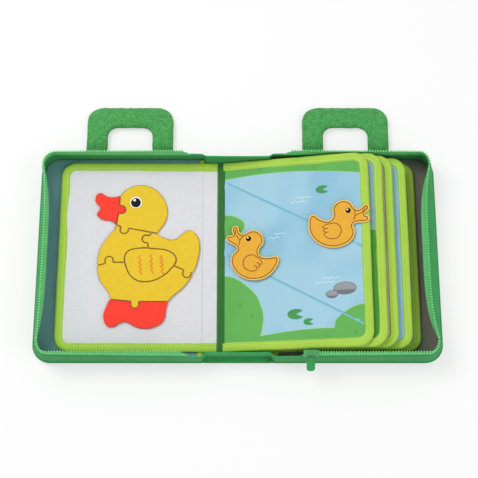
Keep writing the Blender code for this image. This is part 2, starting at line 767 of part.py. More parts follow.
def build_slider(collection, cutters):
    place, lean = slider_frame()
    channel = TOOTH_THICKNESS / 2 + SLIDER_PLAY
    outside = channel + SLIDER_WALL
    top = SLIDER_DEPTH / 2 + SLIDER_PLAY + SLIDER_WALL
    bottom = -SLIDER_DEPTH / 2
    half = SLIDER_LENGTH / 2
    rear = bottom + (top - bottom) * (1 - SLIDER_REAR_SHARE)
    outline = rounded_outline([(-half, bottom, SLIDER_WALL), (0, bottom, 0), (half, rear, SLIDER_WALL),
                               (half, top, SLIDER_WALL), (-half, top, SLIDER_WALL)])
    body = flat_plate("zip_slider", [outline], 2 * outside)
    move_points(body, lambda co: Vector((co.x, -co.z, co.y)))
    outward(body)
    slider = add_object("zip_slider", body, collection, "zip teeth")
    channel_top = SLIDER_DEPTH / 2 + SLIDER_PLAY
    gap = box_mesh("zip_slider_channel", (-half - OVERRUN, -channel, bottom - OVERRUN),
                   (half + OVERRUN, channel, channel_top))
    boolean(slider, gap, "DIFFERENCE", cutters)

    # Bail: a bar on two lugs that stands off the outer face
    reach = bail_reach()
    bar_half = BAIL_LENGTH / 2
    bar = cylinder_mesh("zip_bail_bar", BAIL_RADIUS, (-bar_half, -outside - reach, 0),
                        (bar_half, -outside - reach, 0), 8)
    boolean(slider, bar, "UNION", cutters)
    for sign in (-1, 1):
        low = (sign * bar_half - BAIL_LUG / 2, -outside - reach - BAIL_LUG_HEIGHT / 2, -BAIL_LUG_HEIGHT / 2)
        high = (sign * bar_half + BAIL_LUG / 2, -outside + SLIDER_WALL / 2, BAIL_LUG_HEIGHT / 2)
        lug = box_mesh("zip_bail_lug", low, high)
        boolean(slider, lug, "UNION", cutters)
    apply_modifiers(slider)
    slider.location = place
    slider.rotation_euler = (-lean, 0, 0)


def bail_reach():
    # From the slider's outer face to the middle of the bail
    return PULL_EYE_RADIUS + PULL_EYE_PLAY


def build_pull(collection, cutters):
    place, lean = slider_frame()
    outside = TOOTH_THICKNESS / 2 + SLIDER_PLAY + SLIDER_WALL
    half = PULL_WIDTH / 2
    neck = PULL_EYE_LENGTH / 2
    shoulder = PULL_LENGTH * PULL_SHOULDER_SHARE
    end_round = PULL_WIDTH * PULL_END_ROUND_SHARE
    outline = rounded_outline([(-neck, 0, 0), (neck, 0, 0), (half, shoulder, PULL_THICKNESS),
                               (half, PULL_LENGTH, end_round), (-half, PULL_LENGTH, end_round),
                               (-half, shoulder, PULL_THICKNESS)])
    tab = flat_plate("zip_pull", [outline], PULL_THICKNESS)
    pull = add_object("zip_pull", tab, collection, "case cloth")
    eye = cylinder_mesh("zip_pull_eye", PULL_EYE_RADIUS, (-neck, 0, 0), (neck, 0, 0), 12)
    boolean(pull, eye, "UNION", cutters)
    bore = cylinder_mesh("zip_pull_bore", BAIL_RADIUS + PULL_EYE_PLAY, (-neck - OVERRUN, 0, 0),
                         (neck + OVERRUN, 0, 0), 12)
    boolean(pull, bore, "DIFFERENCE", cutters)
    apply_modifiers(pull)

    # The tab hangs outwards and down from the bail
    turn = Matrix.Rotation(-lean, 4, "X")
    bail = place + turn @ Vector((0, -outside - bail_reach(), 0))
    pull.location = bail
    pull.rotation_euler = (-math.radians(PULL_DROOP_DEG), 0, math.pi)
    axis = bpy.data.objects.new("zip_pull_axis", None)
    axis.location = bail
    collection.objects.link(axis)


def puzzle_point(x, y):
    # Shares of the puzzle's width and height, from its middle, onto the page from its hinge
    middle = Vector((PUZZLE_CENTRE_SHARES[0] * LEAF_LENGTH, PUZZLE_CENTRE_SHARES[1] * LEAF_HALF_HEIGHT))
    return middle + Vector((x * PUZZLE_WIDTH, y * PUZZLE_HEIGHT))


def nearest(place, points):
    return min(points, key=lambda point: (point - place).length)


def knob_cut(first, last, at_share, bulge):
    # A straight cut with one round jigsaw knob on the side that bulge points to
    along = (last - first).normalized()
    across = Vector((-along.y, along.x)) * bulge
    neck = first.lerp(last, at_share)
    middle = neck + across * PUZZLE_KNOB_RADIUS * KNOB_REACH_SHARE
    points = [first]
    open_turn = math.radians(KNOB_OPENING_DEG)
    for step in range(KNOB_STEPS + 1):
        turn = open_turn + (math.tau - 2 * open_turn) * step / KNOB_STEPS
        points.append(middle + PUZZLE_KNOB_RADIUS * (-across * math.cos(turn) - along * math.sin(turn)))
    points.append(last)
    return points


def kerf_wall(name, points, closed=False):
    # A thin upright wall along a cut line, to be taken out of the slab
    curve = bpy.data.curves.new(name, "CURVE")
    curve.dimensions = "3D"
    curve.extrude = PUZZLE_THICKNESS
    spline = curve.splines.new("POLY")
    spline.points.add(len(points) - 1)
    spline.use_cyclic_u = closed
    for point, place in zip(spline.points, points):
        point.co = (place.x, place.y, 0, 1)
    mesh = curve_mesh(name, curve)
    wall = bpy.data.objects.new(name, mesh)
    bpy.context.scene.collection.objects.link(wall)
    body = wall.modifiers.new("kerf", "SOLIDIFY")
    body.thickness = PUZZLE_KERF
    body.offset = 0
    body.use_even_offset = True
    apply_modifiers(wall)
    finished = wall.data
    outward(finished)
    bpy.data.objects.remove(wall, do_unlink=True)
    return finished


# Shares of the puzzle's width and height from its middle; +x runs from the gutter to the fore edge
DUCK_OUTLINE_SHARES = (
    (0.270, 0.425), (0.215, 0.465), (0.150, 0.492), (0.065, 0.502), (-0.030, 0.485), (-0.110, 0.440),
    (-0.165, 0.375), (-0.183, 0.310), (-0.165, 0.240), (-0.120, 0.190), (-0.095, 0.155), (-0.150, 0.130),
    (-0.246, 0.111), (-0.320, 0.147), (-0.383, 0.183), (-0.452, 0.156), (-0.490, 0.084), (-0.480, -0.010),
    (-0.430, -0.120), (-0.340, -0.220), (-0.230, -0.290), (-0.190, -0.350), (-0.170, -0.440), (-0.060, -0.492),
    (0.080, -0.490), (0.190, -0.450), (0.330, -0.490), (0.385, -0.420), (0.350, -0.330), (0.330, -0.280),
    (0.425, -0.180), (0.460, -0.050), (0.430, 0.060), (0.350, 0.150), (0.300, 0.205), (0.330, 0.240),
    (0.430, 0.255), (0.482, 0.295), (0.445, 0.330), (0.500, 0.385), (0.465, 0.445), (0.380, 0.415),
)
WING_SHARES = ((0.195, 0.020), (0.090, 0.052), (-0.060, 0.050), (-0.215, 0.030), (-0.275, -0.020),
               (-0.225, -0.090), (-0.130, -0.150), (0.010, -0.180), (0.115, -0.160), (0.190, -0.080))
BILL_CUT_SHARES = ((0.302, 0.180), (0.262, 0.500))
NECK_CUT_SHARES = ((0.370, 0.232), (-0.160, 0.148))
BACK_CUT_SHARES = ((-0.040, 0.172), (-0.030, 0.052))
CHEST_CUT_SHARES = ((0.460, -0.070), (0.200, -0.040))
TAIL_CUT_SHARES = ((-0.480, -0.120), (-0.255, -0.060))
FEET_CUT_SHARES = ((0.360, -0.300), (-0.260, -0.315))
PIECE_SHARES = {
    "puzzle_bill": ((0.40, 0.30), "red felt"),
    "puzzle_head": ((0.06, 0.36), "yellow felt"),
    "puzzle_chest": ((0.27, 0.06), "yellow felt"),
    "puzzle_tail": ((-0.35, 0.06), "yellow felt"),
    "puzzle_wing": ((-0.04, -0.05), "yellow felt"),
    "puzzle_belly": ((0.02, -0.24), "yellow felt"),
    "puzzle_feet": ((0.08, -0.41), "red felt"),
}
EYE_SHARES = (0.115, 0.375)


def build_puzzle(collection, cutters):
    slab = flat_plate("puzzle_slab", [[puzzle_point(x, y) for x, y in DUCK_OUTLINE_SHARES]], PUZZLE_THICKNESS,
                      kind="BEZIER", resolution=3)
    blank = bpy.data.objects.new("puzzle_blank", slab)
    bpy.context.scene.collection.objects.link(blank)
    wing = wing_loop()
    bill, neck, back, chest, tail, feet = [
        [puzzle_point(*start), puzzle_point(*end)]
        for start, end in (BILL_CUT_SHARES, NECK_CUT_SHARES, BACK_CUT_SHARES, CHEST_CUT_SHARES, TAIL_CUT_SHARES,
                           FEET_CUT_SHARES)]
    for cut in (back, chest, tail):
        cut[1] = nearest(cut[1], wing)
    cuts = ((bill, 0.46, 1), (neck, 0.30, 1), (back, 0.5, 1), (chest, 0.45, -1), (tail, 0.42, -1), (feet, 0.42, 1))
    for number, ((first, last), at_share, bulge) in enumerate(cuts):
        wall = kerf_wall("puzzle_cut_%d" % number, knob_cut(first, last, at_share, bulge))
        boolean(blank, wall, "DIFFERENCE", cutters)
    boolean(blank, kerf_wall("puzzle_wing_cut", wing, closed=True), "DIFFERENCE", cutters)
    apply_modifiers(blank)

    for name, (share, cloth) in PIECE_SHARES.items():
        piece = add_object(name, loose_part(blank.data, puzzle_point(*share)), collection, cloth)
        set_on_page(piece, PUZZLE_THICKNESS / 2)
    bpy.data.objects.remove(blank, do_unlink=True)

    eye_place = puzzle_point(*EYE_SHARES)
    eye = cylinder_mesh("puzzle_eye", EYE_RADIUS, (eye_place.x, eye_place.y, -EYE_THICKNESS / 2),
                        (eye_place.x, eye_place.y, EYE_THICKNESS / 2), 24)
    set_on_page(add_object("puzzle_eye", eye, collection, "eye white"),
                PUZZLE_THICKNESS + CLEARANCE + EYE_THICKNESS / 2)


def wing_loop():
    # The wing's outline drawn smooth through its points
    curve = bpy.data.curves.new("wing", "CURVE")
    curve.dimensions = "3D"
    curve.resolution_u = 3
    spline = curve.splines.new("BEZIER")
    spline.use_cyclic_u = True
    spline.bezier_points.add(len(WING_SHARES) - 1)
    for point, share in zip(spline.bezier_points, WING_SHARES):
        place = puzzle_point(*share)
        point.co = (place.x, place.y, 0)
        point.handle_left_type = "AUTO"
        point.handle_right_type = "AUTO"
    holder = bpy.data.objects.new("wing", curve)
    bpy.context.scene.collection.objects.link(holder)
    graph = bpy.context.evaluated_depsgraph_get()
    graph.update()
    line = bpy.data.meshes.new_from_object(holder.evaluated_get(graph))
    points = [vertex.co.xy.copy() for vertex in line.vertices]
    bpy.data.objects.remove(holder, do_unlink=True)
    bpy.data.meshes.remove(line)
    return points


def loose_part(mesh, near):
    # The separate body of the cut slab whose middle lies closest to a place on the page
    shape = bmesh.new()
    shape.from_mesh(mesh)
    waiting = set(shape.verts)
    best, best_distance = None, math.inf
    while waiting:
        stack = [waiting.pop()]
        body = set(stack)
        while stack:
            for edge in stack.pop().link_edges:
                for vertex in edge.verts:
                    if vertex not in body:
                        body.add(vertex)
                        stack.append(vertex)
        waiting -= body
        low = Vector((min(v.co.x for v in body), min(v.co.y for v in body)))
        high = Vector((max(v.co.x for v in body), max(v.co.y for v in body)))
        distance = ((low + high) / 2 - near).length
        if distance < best_distance:
            best, best_distance = body, distance
    bmesh.ops.delete(shape, geom=[v for v in shape.verts if v not in best], context="VERTS")
    return mesh_from_bmesh("puzzle_piece", shape)


def set_on_page(piece, height):
    # Stands a flat piece on the first page's upper face
    slope = math.atan2((PAD_THICKNESS - PAD_ROOT_THICKNESS) / 2, LEAF_LENGTH)

    def lift(co):
        surface = pad_thickness(co.x) / 2 + CLEARANCE
        return Vector((co.x, co.y, surface + height + co.z / math.cos(slope)))

    move_points(piece.data, lift)
    place_leaf(piece, 1)


# Shares of a felt duck's width and height; it faces -x
FELT_DUCK_SHARES = (
    (-0.093, 0.500), (-0.205, 0.430), (-0.275, 0.290), (-0.345, 0.295), (-0.425, 0.385), (-0.490, 0.345),
    (-0.470, 0.230), (-0.400, 0.165), (-0.480, 0.135), (-0.480, 0.025), (-0.320, -0.005), (-0.225, -0.030),
    (-0.253, -0.183), (-0.204, -0.350), (-0.056, -0.467), (0.117, -0.500), (0.315, -0.417), (0.451, -0.250),
    (0.505, -0.017), (0.440, 0.240), (0.315, 0.140), (0.170, 0.080), (0.098, 0.170), (0.112, 0.317),
    (0.043, 0.450),
)
DUCK_GRIP_SHARES = (0.02, -0.22)


def build_felt_duck(name, slit_shares, along_share, facing, tilt_deg, collection, cutters):
    first, last = slit_ends(slit_shares)
    grip = first.lerp(last, along_share)
    along = (last - first).normalized()
    anchor = Vector((DUCK_GRIP_SHARES[0] * DUCK_WIDTH * facing, DUCK_GRIP_SHARES[1] * DUCK_HEIGHT))
    turn = Matrix.Rotation(math.radians(tilt_deg), 2)
    outline = []
    for x, y in FELT_DUCK_SHARES:
        outline.append(grip + turn @ (Vector((x * DUCK_WIDTH * facing, y * DUCK_HEIGHT)) - anchor))
    felt = flat_plate(name, [outline], DUCK_THICKNESS, kind="BEZIER", resolution=3)
    surface = pad_thickness(LEAF_LENGTH) / 2
    bottom = surface + DUCK_LIFT
    move_points(felt, lambda co: co + Vector((0, 0, bottom + DUCK_THICKNESS / 2)))
    duck = add_object(name, felt, collection, "orange felt")
    place_leaf(duck, 2)
    bpy.context.view_layer.update()

    # A flat neck runs in the slit and a round foot holds the duck from behind
    half_neck = SLIT_WIDTH / 2 - SLIT_PLAY
    across = Vector((-along.y, along.x)) * half_neck
    reach = along * NECK_LENGTH / 2
    furthest = max(grip.x, grip.x + facing * along.x * DUCK_TRAVEL) + FOOT_RADIUS
    foot_top = -pad_thickness(furthest) / 2 - CLEARANCE
    neck_outline = [grip - reach - across, grip + reach - across, grip + reach + across, grip - reach + across]
    neck_top, neck_bottom = bottom + DUCK_THICKNESS / 2, foot_top - FOOT_THICKNESS / 2
    neck = flat_plate(name + "_neck", [neck_outline], neck_top - neck_bottom)
    move_points(neck, lambda co: co + Vector((0, 0, (neck_top + neck_bottom) / 2)))
    boolean(duck, neck, "UNION", cutters)
    foot = cylinder_mesh(name + "_foot", FOOT_RADIUS, (grip.x, grip.y, foot_top - FOOT_THICKNESS),
                         (grip.x, grip.y, foot_top), 14)
    boolean(duck, foot, "UNION", cutters)


def build_book():
    clear_scene()
    collection = new_collection("cloth activity book")
    cutters = new_collection("cutters")
    build_spine(collection)
    for side in (-1, 1):
        build_cover(side, collection, cutters)
        build_handle(side, collection)
    build_gutter_strips(collection)
    build_leaves(collection, cutters)
    build_slider(collection, cutters)
    build_pull(collection, cutters)
    build_puzzle(collection, cutters)
    build_felt_duck("left_felt_duck", LOWER_SLIT_SHARES, LEFT_DUCK_SHARE, 1, LEFT_DUCK_TILT_DEG, collection, cutters)
    build_felt_duck("right_felt_duck", UPPER_SLIT_SHARES, RIGHT_DUCK_SHARE, -1, RIGHT_DUCK_TILT_DEG,
                    collection, cutters)


build_book()
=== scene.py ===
import math
import bmesh
import bpy
from mathutils import Matrix, Vector, noise


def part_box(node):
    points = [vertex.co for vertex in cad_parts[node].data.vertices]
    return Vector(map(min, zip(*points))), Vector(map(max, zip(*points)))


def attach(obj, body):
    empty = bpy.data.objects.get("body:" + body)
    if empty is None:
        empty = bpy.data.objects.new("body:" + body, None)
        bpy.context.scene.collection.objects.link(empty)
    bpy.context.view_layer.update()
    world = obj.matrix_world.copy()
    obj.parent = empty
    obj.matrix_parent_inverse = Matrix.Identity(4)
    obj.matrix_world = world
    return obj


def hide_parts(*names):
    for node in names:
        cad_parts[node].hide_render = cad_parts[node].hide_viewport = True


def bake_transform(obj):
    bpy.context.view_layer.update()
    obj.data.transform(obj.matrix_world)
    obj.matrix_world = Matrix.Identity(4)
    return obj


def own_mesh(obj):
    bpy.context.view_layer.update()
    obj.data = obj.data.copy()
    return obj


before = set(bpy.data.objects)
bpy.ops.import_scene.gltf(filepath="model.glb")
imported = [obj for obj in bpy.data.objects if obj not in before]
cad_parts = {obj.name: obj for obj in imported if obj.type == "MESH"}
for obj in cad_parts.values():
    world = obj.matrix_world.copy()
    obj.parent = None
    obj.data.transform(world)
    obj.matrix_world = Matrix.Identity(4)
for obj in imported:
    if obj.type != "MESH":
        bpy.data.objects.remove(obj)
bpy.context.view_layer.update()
print("frame loaded")

# lengths are in metres and angles in degrees; side -1 is left, end -1 is front
sideWords = {-1: "left", 1: "right"}
endOf = {"front": -1, "outer": -1, "back": 1}
case = {
    "fold": 0.038, "reach": 0.225, "half": 0.119, "corner": 0.020, "panelTop": 0.004,
    "wallFoot": 0.0043, "tapeTop": 0.0384, "wallInset": 0.0015, "chainTop": 0.0417,
}
leafRoots = {1: -0.0315, 2: -0.0205, 3: -0.0055, 4: 0.0055, 5: 0.0205, 6: 0.0315}
leafTilts = {1: 0.523, 2: 13.295, 3: 12.443, 4: 9.533, 5: 6.842, 6: 0.523}
leafSlopes = {leaf: math.radians(tilt) for leaf, tilt in leafTilts.items()}
leafShape = {"hinge": 0.0076, "length": 0.1698, "half": 0.1110, "corner": 0.017, "full": 0.0038, "root": 0.0010}


class Value:
    # a number in a material: + - * / on it add Math nodes
    def __init__(self, finish, socket):
        self.finish, self.socket = finish, socket

    def work(self, operation, *values, clamp=False):
        settings = {"operation": operation, "use_clamp": clamp}
        return Value(self.finish, self.finish.add("ShaderNodeMath", settings, dict(enumerate(values))).outputs[0])

    def __add__(self, other): return self.work("ADD", self, other)
    def __radd__(self, other): return self.work("ADD", other, self)
    def __sub__(self, other): return self.work("SUBTRACT", self, other)
    def __rsub__(self, other): return self.work("SUBTRACT", other, self)
    def __mul__(self, other): return self.work("MULTIPLY", self, other)
    def __rmul__(self, other): return self.work("MULTIPLY", other, self)
    def __truediv__(self, other): return self.work("DIVIDE", self, other)
    def __rtruediv__(self, other): return self.work("DIVIDE", other, self)
    def sine(self): return self.work("SINE", self)
    def size(self): return self.work("ABSOLUTE", self)
    def root(self): return self.work("SQRT", self)
    def least(self, other): return self.work("MINIMUM", self, other)
    def most(self, other): return self.work("MAXIMUM", self, other)
    def clamped(self): return self.work("ADD", self, 0, clamp=True)


class Finish:
    # one material, built node by node
    def __init__(self, name, base, roughness, **uniform):
        self.material = bpy.data.materials.new(name)
        self.material.use_nodes = True
        self.tree = self.material.node_tree
        self.shader = self.tree.nodes["Principled BSDF"]
        self.shader.inputs["Base Color"].default_value = (*base, 1)
        self.shader.inputs["Roughness"].default_value = roughness
        for key, number in uniform.items():
            self.shader.inputs[key.replace("_", " ")].default_value = number
        self.places = {}

    def add(self, kind, settings=None, values=None):
        node = self.tree.nodes.new(kind)
        for key, setting in (settings or {}).items():
            setattr(node, key, setting)
        for key, given in (values or {}).items():
            socket = node.inputs[key]
            if isinstance(given, Value):
                given = given.socket
            if isinstance(given, bpy.types.NodeSocket):
                self.tree.links.new(given, socket)
            elif isinstance(given, tuple) and len(given) == 3 and socket.type == "RGBA":
                socket.default_value = (*given, 1)
            else:
                socket.default_value = given
        return node

    def spot(self, source="Object"):
        # the place on the piece, or on its own map
        if source not in self.places:
            self.places[source] = self.add("ShaderNodeTexCoord").outputs[source]
        return self.places[source]

    def place(self, source="Object"):
        # the same as the three numbers x, y and z
        split = self.add("ShaderNodeSeparateXYZ", None, {0: self.spot(source)})
        return [Value(self, output) for output in split.outputs]

    def grain(self, scale, detail):
        values = {"Vector": self.spot(), "Scale": scale, "Detail": detail}
        return Value(self, self.add("ShaderNodeTexNoise", None, values).outputs["Fac"])

    def mix(self, factor, low, high, blend="MIX"):
        settings = {"data_type": "RGBA", "blend_type": blend}
        return self.add("ShaderNodeMix", settings, {0: factor, 6: low, 7: high}).outputs[2]

    def paint(self, socket):
        self.tree.links.new(socket, self.shader.inputs["Base Color"])

    def bump(self, height, strength, distance):
        node = self.add("ShaderNodeBump", None, {"Height": height, "Strength": strength, "Distance": distance})
        self.tree.links.new(node.outputs[0], self.shader.inputs["Normal"])


def colour(red, green, blue):
    # a colour as a picture editor shows it, turned to the linear values that Blender mixes
    shares = (red / 255, green / 255, blue / 255)
    return tuple(s / 12.92 if s < 0.0404 else ((s + 0.055) / 1.055) ** 2.4 for s in shares)


def tint(base, factor):
    return tuple(min(1, c * factor) for c in base)


def mottled(finish, base, shade, low, high):
    # paints the base darker and lighter by a shade that runs from 0 to 1
    finish.paint(finish.mix(shade.clamped(), tint(base, low), tint(base, high)))


def woven(name, base, pitch=0.0009, depth=0.00025, mottle=0.12, turned=False):
    # plain woven cloth: over and under threads, with small uneven patches of colour
    cloth = Finish(name, base, 0.88, Sheen_Weight=0.05, Sheen_Roughness=0.5)
    x, y, z = cloth.place()
    rate = 2 * math.pi / pitch
    if turned:
        threads = ((x + y) * rate * 0.7).sine() * ((x - y + z) * rate * 0.7).sine()
    else:
        threads = (x * rate).sine() * ((y + z) * rate).sine()
    patches, wide = cloth.grain(420, 3), cloth.grain(38, 2)
    shade = 0.5 + (patches - 0.5) * 1.3 + (wide - 0.5) * 0.7 + threads * 0.16
    mottled(cloth, base, shade, 1 - mottle, 1 + mottle)
    cloth.bump(threads * 0.5 + patches * 0.9, 0.45, depth)
    return cloth


def webbed(name, base):
    # coarse padded webbing with light flecks, with painted shade darkening it towards its sewn feet beside the case
    # wall
    cloth = Finish(name, base, 0.9, Sheen_Weight=0.05, Sheen_Roughness=0.5)
    x, y, z = cloth.place()
    threads = ((x + y) * 2400).sine() * ((x - y + z) * 2400).sine()
    flecks, patches = cloth.grain(760, 2), cloth.grain(210, 3)
    # painted shade: the webbing darkens over its last 13 mm towards the feet, where the case wall shades it; the
    # same share sets the creases there
    sewn = ((0.137 - y) / 0.013).clamped()
    shade = 0.5 + (flecks - 0.5) * 2.4 + (patches - 0.5) * 1.1 + threads * 0.22 - sewn * 0.42
    mottled(cloth, base, shade, 0.62, 1.45)
    cloth.bump(threads * 0.6 + flecks * 0.8 + (y * 1400).sine() * sewn * 0.5, 0.5, 0.0007)
    return cloth


def felted(name, base):
    # pressed felt: no threads, a soft haze of fibres
    felt = Finish(name, base, 0.95, Sheen_Weight=0.12, Sheen_Roughness=0.6)
    fibres, clumps = felt.grain(900, 4), felt.grain(150, 3)
    mottled(felt, base, 0.5 + (fibres - 0.5) * 1.2 + (clumps - 0.5) * 0.9, 0.90, 1.10)
    felt.bump(fibres + clumps * 0.6, 0.5, 0.0004)
    return felt


finishes = {
    "case": woven("case cloth", colour(46, 156, 80), mottle=0.18),
    "tape": woven("zip tape cloth", colour(104, 206, 124), 0.0016, 0.0004, 0.2, True),
    "webbing": webbed("handle webbing", colour(70, 154, 78)),
    "lime": woven("lime binding tape", colour(166, 205, 72), 0.0008, mottle=0.09),
    "gutter": woven("gutter cloth", colour(66, 136, 58), mottle=0.14),
    # a darker copy of the gutter cloth, painted shade in the gutter, used on page 2's root
    "hem": woven("page root cloth with painted gutter shade", colour(42, 104, 42), mottle=0.14),
    "white": woven("white page cloth", colour(216, 216, 221), 0.0010, 0.00035, 0.045),
    "sand": woven("sand page cloth", colour(198, 180, 152), mottle=0.07),
    "sky": woven("sky page cloth", colour(146, 192, 212), mottle=0.06),
    "tealLining": woven("teal lining", colour(112, 160, 167), mottle=0.10),
    "greyLining": woven("grey lining", colour(122, 115, 108), mottle=0.10),
    "yellowFelt": felted("yellow felt", colour(225, 189, 36)),
    "redFelt": felted("red felt", colour(246, 56, 38)),
    "orangeFelt": felted("orange felt", colour(225, 166, 48)),
    "paleFelt": felted("cut edge felt", colour(246, 202, 96)),
    "brownThread": Finish("brown thread", colour(122, 70, 22), 0.7),
    "limeThread": Finish("lime thread", colour(186, 220, 110), 0.7),
    "greenThread": Finish("green thread", colour(30, 118, 58), 0.7),
    "orangeThread": Finish("orange thread", colour(238, 134, 40), 0.7),
    # rims of the red puzzle pieces, painted shade at their edges
    "redEdgeShade": Finish("painted red edge shade", colour(206, 44, 30), 0.7),
    "cyanThread": Finish("cyan thread", colour(120, 205, 226), 0.7),
    # painted shadow along the back side of each slit on page 2
    "slate": Finish("painted slit shadow", colour(136, 168, 186), 0.7),
    # rims of the yellow puzzle pieces, painted shade at their edges
    "edgeShade": Finish("painted edge shade", colour(150, 112, 30), 0.9),
    "teeth": Finish("moulded teeth", colour(112, 208, 128), 0.42),
    "enamel": Finish("slider enamel", colour(58, 150, 84), 0.35),
    "black": Finish("black print", colour(10, 10, 12), 0.7, Specular_IOR_Level=0.25),
    "whitePrintAndGlint": Finish("white print and painted glint", colour(246, 246, 246), 0.5),
}
print("materials made")


def choose(piece):
    bpy.ops.object.select_all(action="DESELECT")
    piece.select_set(True)
    bpy.context.view_layer.objects.active = piece


def smooth(piece, sharp=40):
    choose(piece)
    bpy.ops.object.shade_smooth_by_angle(angle=math.radians(sharp))


def addObject(name, data):
    thing = bpy.data.objects.new(name, data)
    bpy.context.scene.collection.objects.link(thing)
    return thing


def dress(piece, finish, body=None, replaces=None):
    piece.data.materials.clear()
    piece.data.materials.append(finishes[finish].material)
    if body:
        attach(piece, body)
    if replaces:
        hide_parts(replaces)
    return piece


def pieceFrom(name, points, faces, uvs, sharp):
    mesh = bpy.data.meshes.new(name)
    mesh.from_pydata([tuple(p) for p in points], [], faces)
    layer = mesh.uv_layers.new(name="cloth")
    for loop in mesh.loops:
        layer.data[loop.index].uv = uvs[loop.vertex_index]
    shape = bmesh.new()
    shape.from_mesh(mesh)
    bmesh.ops.recalc_face_normals(shape, faces=shape.faces)
    shape.to_mesh(mesh)
    shape.free()
    piece = addObject(name, mesh)
    smooth(piece, sharp)
    return piece


def startPiece(name):
    # goes on with the primitive just added, in edit mode, with all of it selected
    piece = bpy.context.object
    piece.name = piece.data.name = name
    bpy.ops.object.transform_apply(location=True, rotation=True, scale=True)
    bpy.ops.object.mode_set(mode="EDIT")
    bpy.ops.mesh.select_all(action="SELECT")
    return piece


def faceOutwards():
    bpy.ops.mesh.select_all(action="SELECT")
    bpy.ops.mesh.normals_make_consistent(inside=False)


def extrudeBy(move, scale):
    # the selected face moves on and shrinks about the origin's axes
    bpy.ops.mesh.extrude_region_move(TRANSFORM_OT_translate={"value": move})
    bpy.ops.transform.resize(value=scale, center_override=(0, 0, 0))


def selectWhere(piece, kind, test):
    # selects the faces or edges whose middle passes the test; kind is faces or edges
    bpy.ops.mesh.select_all(action="DESELECT")
    bpy.ops.mesh.select_mode(type="FACE" if kind == "faces" else "EDGE")
    shape = bmesh.from_edit_mesh(piece.data)
    for part in getattr(shape, kind):
        corners = [v.co for v in part.verts]
        part.select_set(test(sum(corners, Vector()) / len(corners)))
    bmesh.update_edit_mesh(piece.data)


def turned(along, across, up, place):
    # carries a shape from the origin to a place, with its X, Y and Z along three directions
    return Matrix.Translation(place) @ Matrix((along, across, up)).transposed().to_4x4()


def repeated(name, model, places, sharp=40):
    # one piece of many copies of a small model, which is used up
    copies = []
    for place in places:
        copy = addObject(name, model.data.copy())
        copy.data.transform(place)
        copies.append(copy)
    bpy.data.objects.remove(model)
    piece = copies[0]
    choose(piece)
    for copy in copies:
        copy.select_set(True)
    bpy.ops.object.join()
    piece.data.name = name
    smooth(piece, sharp)
    return piece


def loft(name, rings, sharp=40):
    # joins closed rings of equally many points; the map holds real lengths along and across
    count = len(rings[0])
    points, faces, uvs = [], [], []
    along = 0
    for index, ring in enumerate(rings):
        if index:
            along += (ring[count // 2] - rings[index - 1][count // 2]).length
        across = 0
        for number, point in enumerate(ring):
            if number:
                across += (point - ring[number - 1]).length
            points.append(point)
            uvs.append((along, across))
    for low in range(0, (len(rings) - 1) * count, count):
        for number in range(count):
            after = (number + 1) % count
            faces.append((low + number, low + after, low + count + after, low + count + number))
    faces.append(tuple(range(count))[::-1])
    faces.append(tuple(range((len(rings) - 1) * count, len(rings) * count)))
    return pieceFrom(name, points, faces, uvs, sharp)


def sweep(name, places, section):
    # a piece along Y: section gives the (x, z) points of the cut at each y
    return loft(name, [[Vector((x, y, z)) for x, z in section(y)] for y in places])


def bumpy(point, size, height, seed=0.0):
    # a soft unevenness: size is the distance between bumps
    return noise.noise(Vector(point) / size + Vector((seed, seed * 1.7, seed * 0.6))) * height


def even(first, last, steps):
    return [first + (last - first) * i / steps for i in range(steps + 1)]


def eased(steps, ends):
    # shares from 0 to 1, closer together near both ends
    return [(1 - math.cos(math.pi * i / steps)) / 2 * ends + i / steps * (1 - ends) for i in range(steps + 1)]


def compass(degrees):
    return math.cos(math.radians(degrees)), math.sin(math.radians(degrees))


def roundedFall(distance, soft):
    # 0 to 1 over a soft edge, as a quarter circle
    return math.sqrt(1 - (1 - min(1, distance / soft + 0.05)) ** 2)


def halfAt(place, length, half, corner):
    # half the width of a sheet with rounded outer corners, at a distance from its root
    past = place - (length - corner)
    return half if past <= 0 else half - corner + math.sqrt(max(0, corner * corner - past * past))


studio = {
    "aim": (0.0015, 0.0200, 0.010), "distance": 1.15, "elevation": 74.0, "lens": 77.0, "sensor": 36,
    "floorSize": 3.0, "floorDrop": 0.0004, "floorShade": (0.88, 0.88, 0.88), "floorGlow": 0.54, "air": 0.62,
    "lamps": {"key": ((-0.75, 0.50, 1.40), 12.5, 0.9),  # place, power and size of each
              "fill": ((0.95, -0.55, 1.25), 6.0, 1.2)},
}


def plainFloor():
    # a plain pale floor, nearly white to the camera alone
    bpy.ops.object.select_all(action="DESELECT")
    bpy.ops.mesh.primitive_plane_add(size=studio["floorSize"], location=(0, 0, -studio["floorDrop"]))
    floor = bpy.context.object
    floor.name = "floor"
    bpy.ops.object.transform_apply(location=True)
    paper = Finish("floor paper", studio["floorShade"], 0.9)
    seen = Value(paper, paper.add("ShaderNodeLightPath").outputs["Is Camera Ray"])
    glow = paper.add("ShaderNodeEmission", None, {"Color": (1.0, 1.0, 1.0), "Strength": 1.0})
    both = paper.add("ShaderNodeMixShader", None, {0: seen * studio["floorGlow"], 1: paper.shader.outputs[0],
                                                   2: glow.outputs[0]})
    paper.tree.links.new(both.outputs[0], paper.tree.nodes["Material Output"].inputs["Surface"])
    floor.data.materials.append(paper.material)


def lampAt(name, place, power, size):
    data = bpy.data.lights.new(name, "AREA")
    data.energy, data.shape, data.size = power, "DISK", size
    lamp = addObject(name, data)
    lamp.location = place
    lamp.rotation_euler = (-Vector(place)).to_track_quat("-Z", "Y").to_euler()


def photoCamera():
    c, s = compass(studio["elevation"])
    away = Vector((0, -c, s)) * studio["distance"]
    data = bpy.data.cameras.new("photo camera")
    data.lens, data.sensor_width = studio["lens"], studio["sensor"]
    camera = addObject("photo camera", data)
    camera.location = Vector(studio["aim"]) + away
    camera.rotation_euler = (-away).to_track_quat("-Z", "Y").to_euler()
    bpy.context.scene.camera = camera


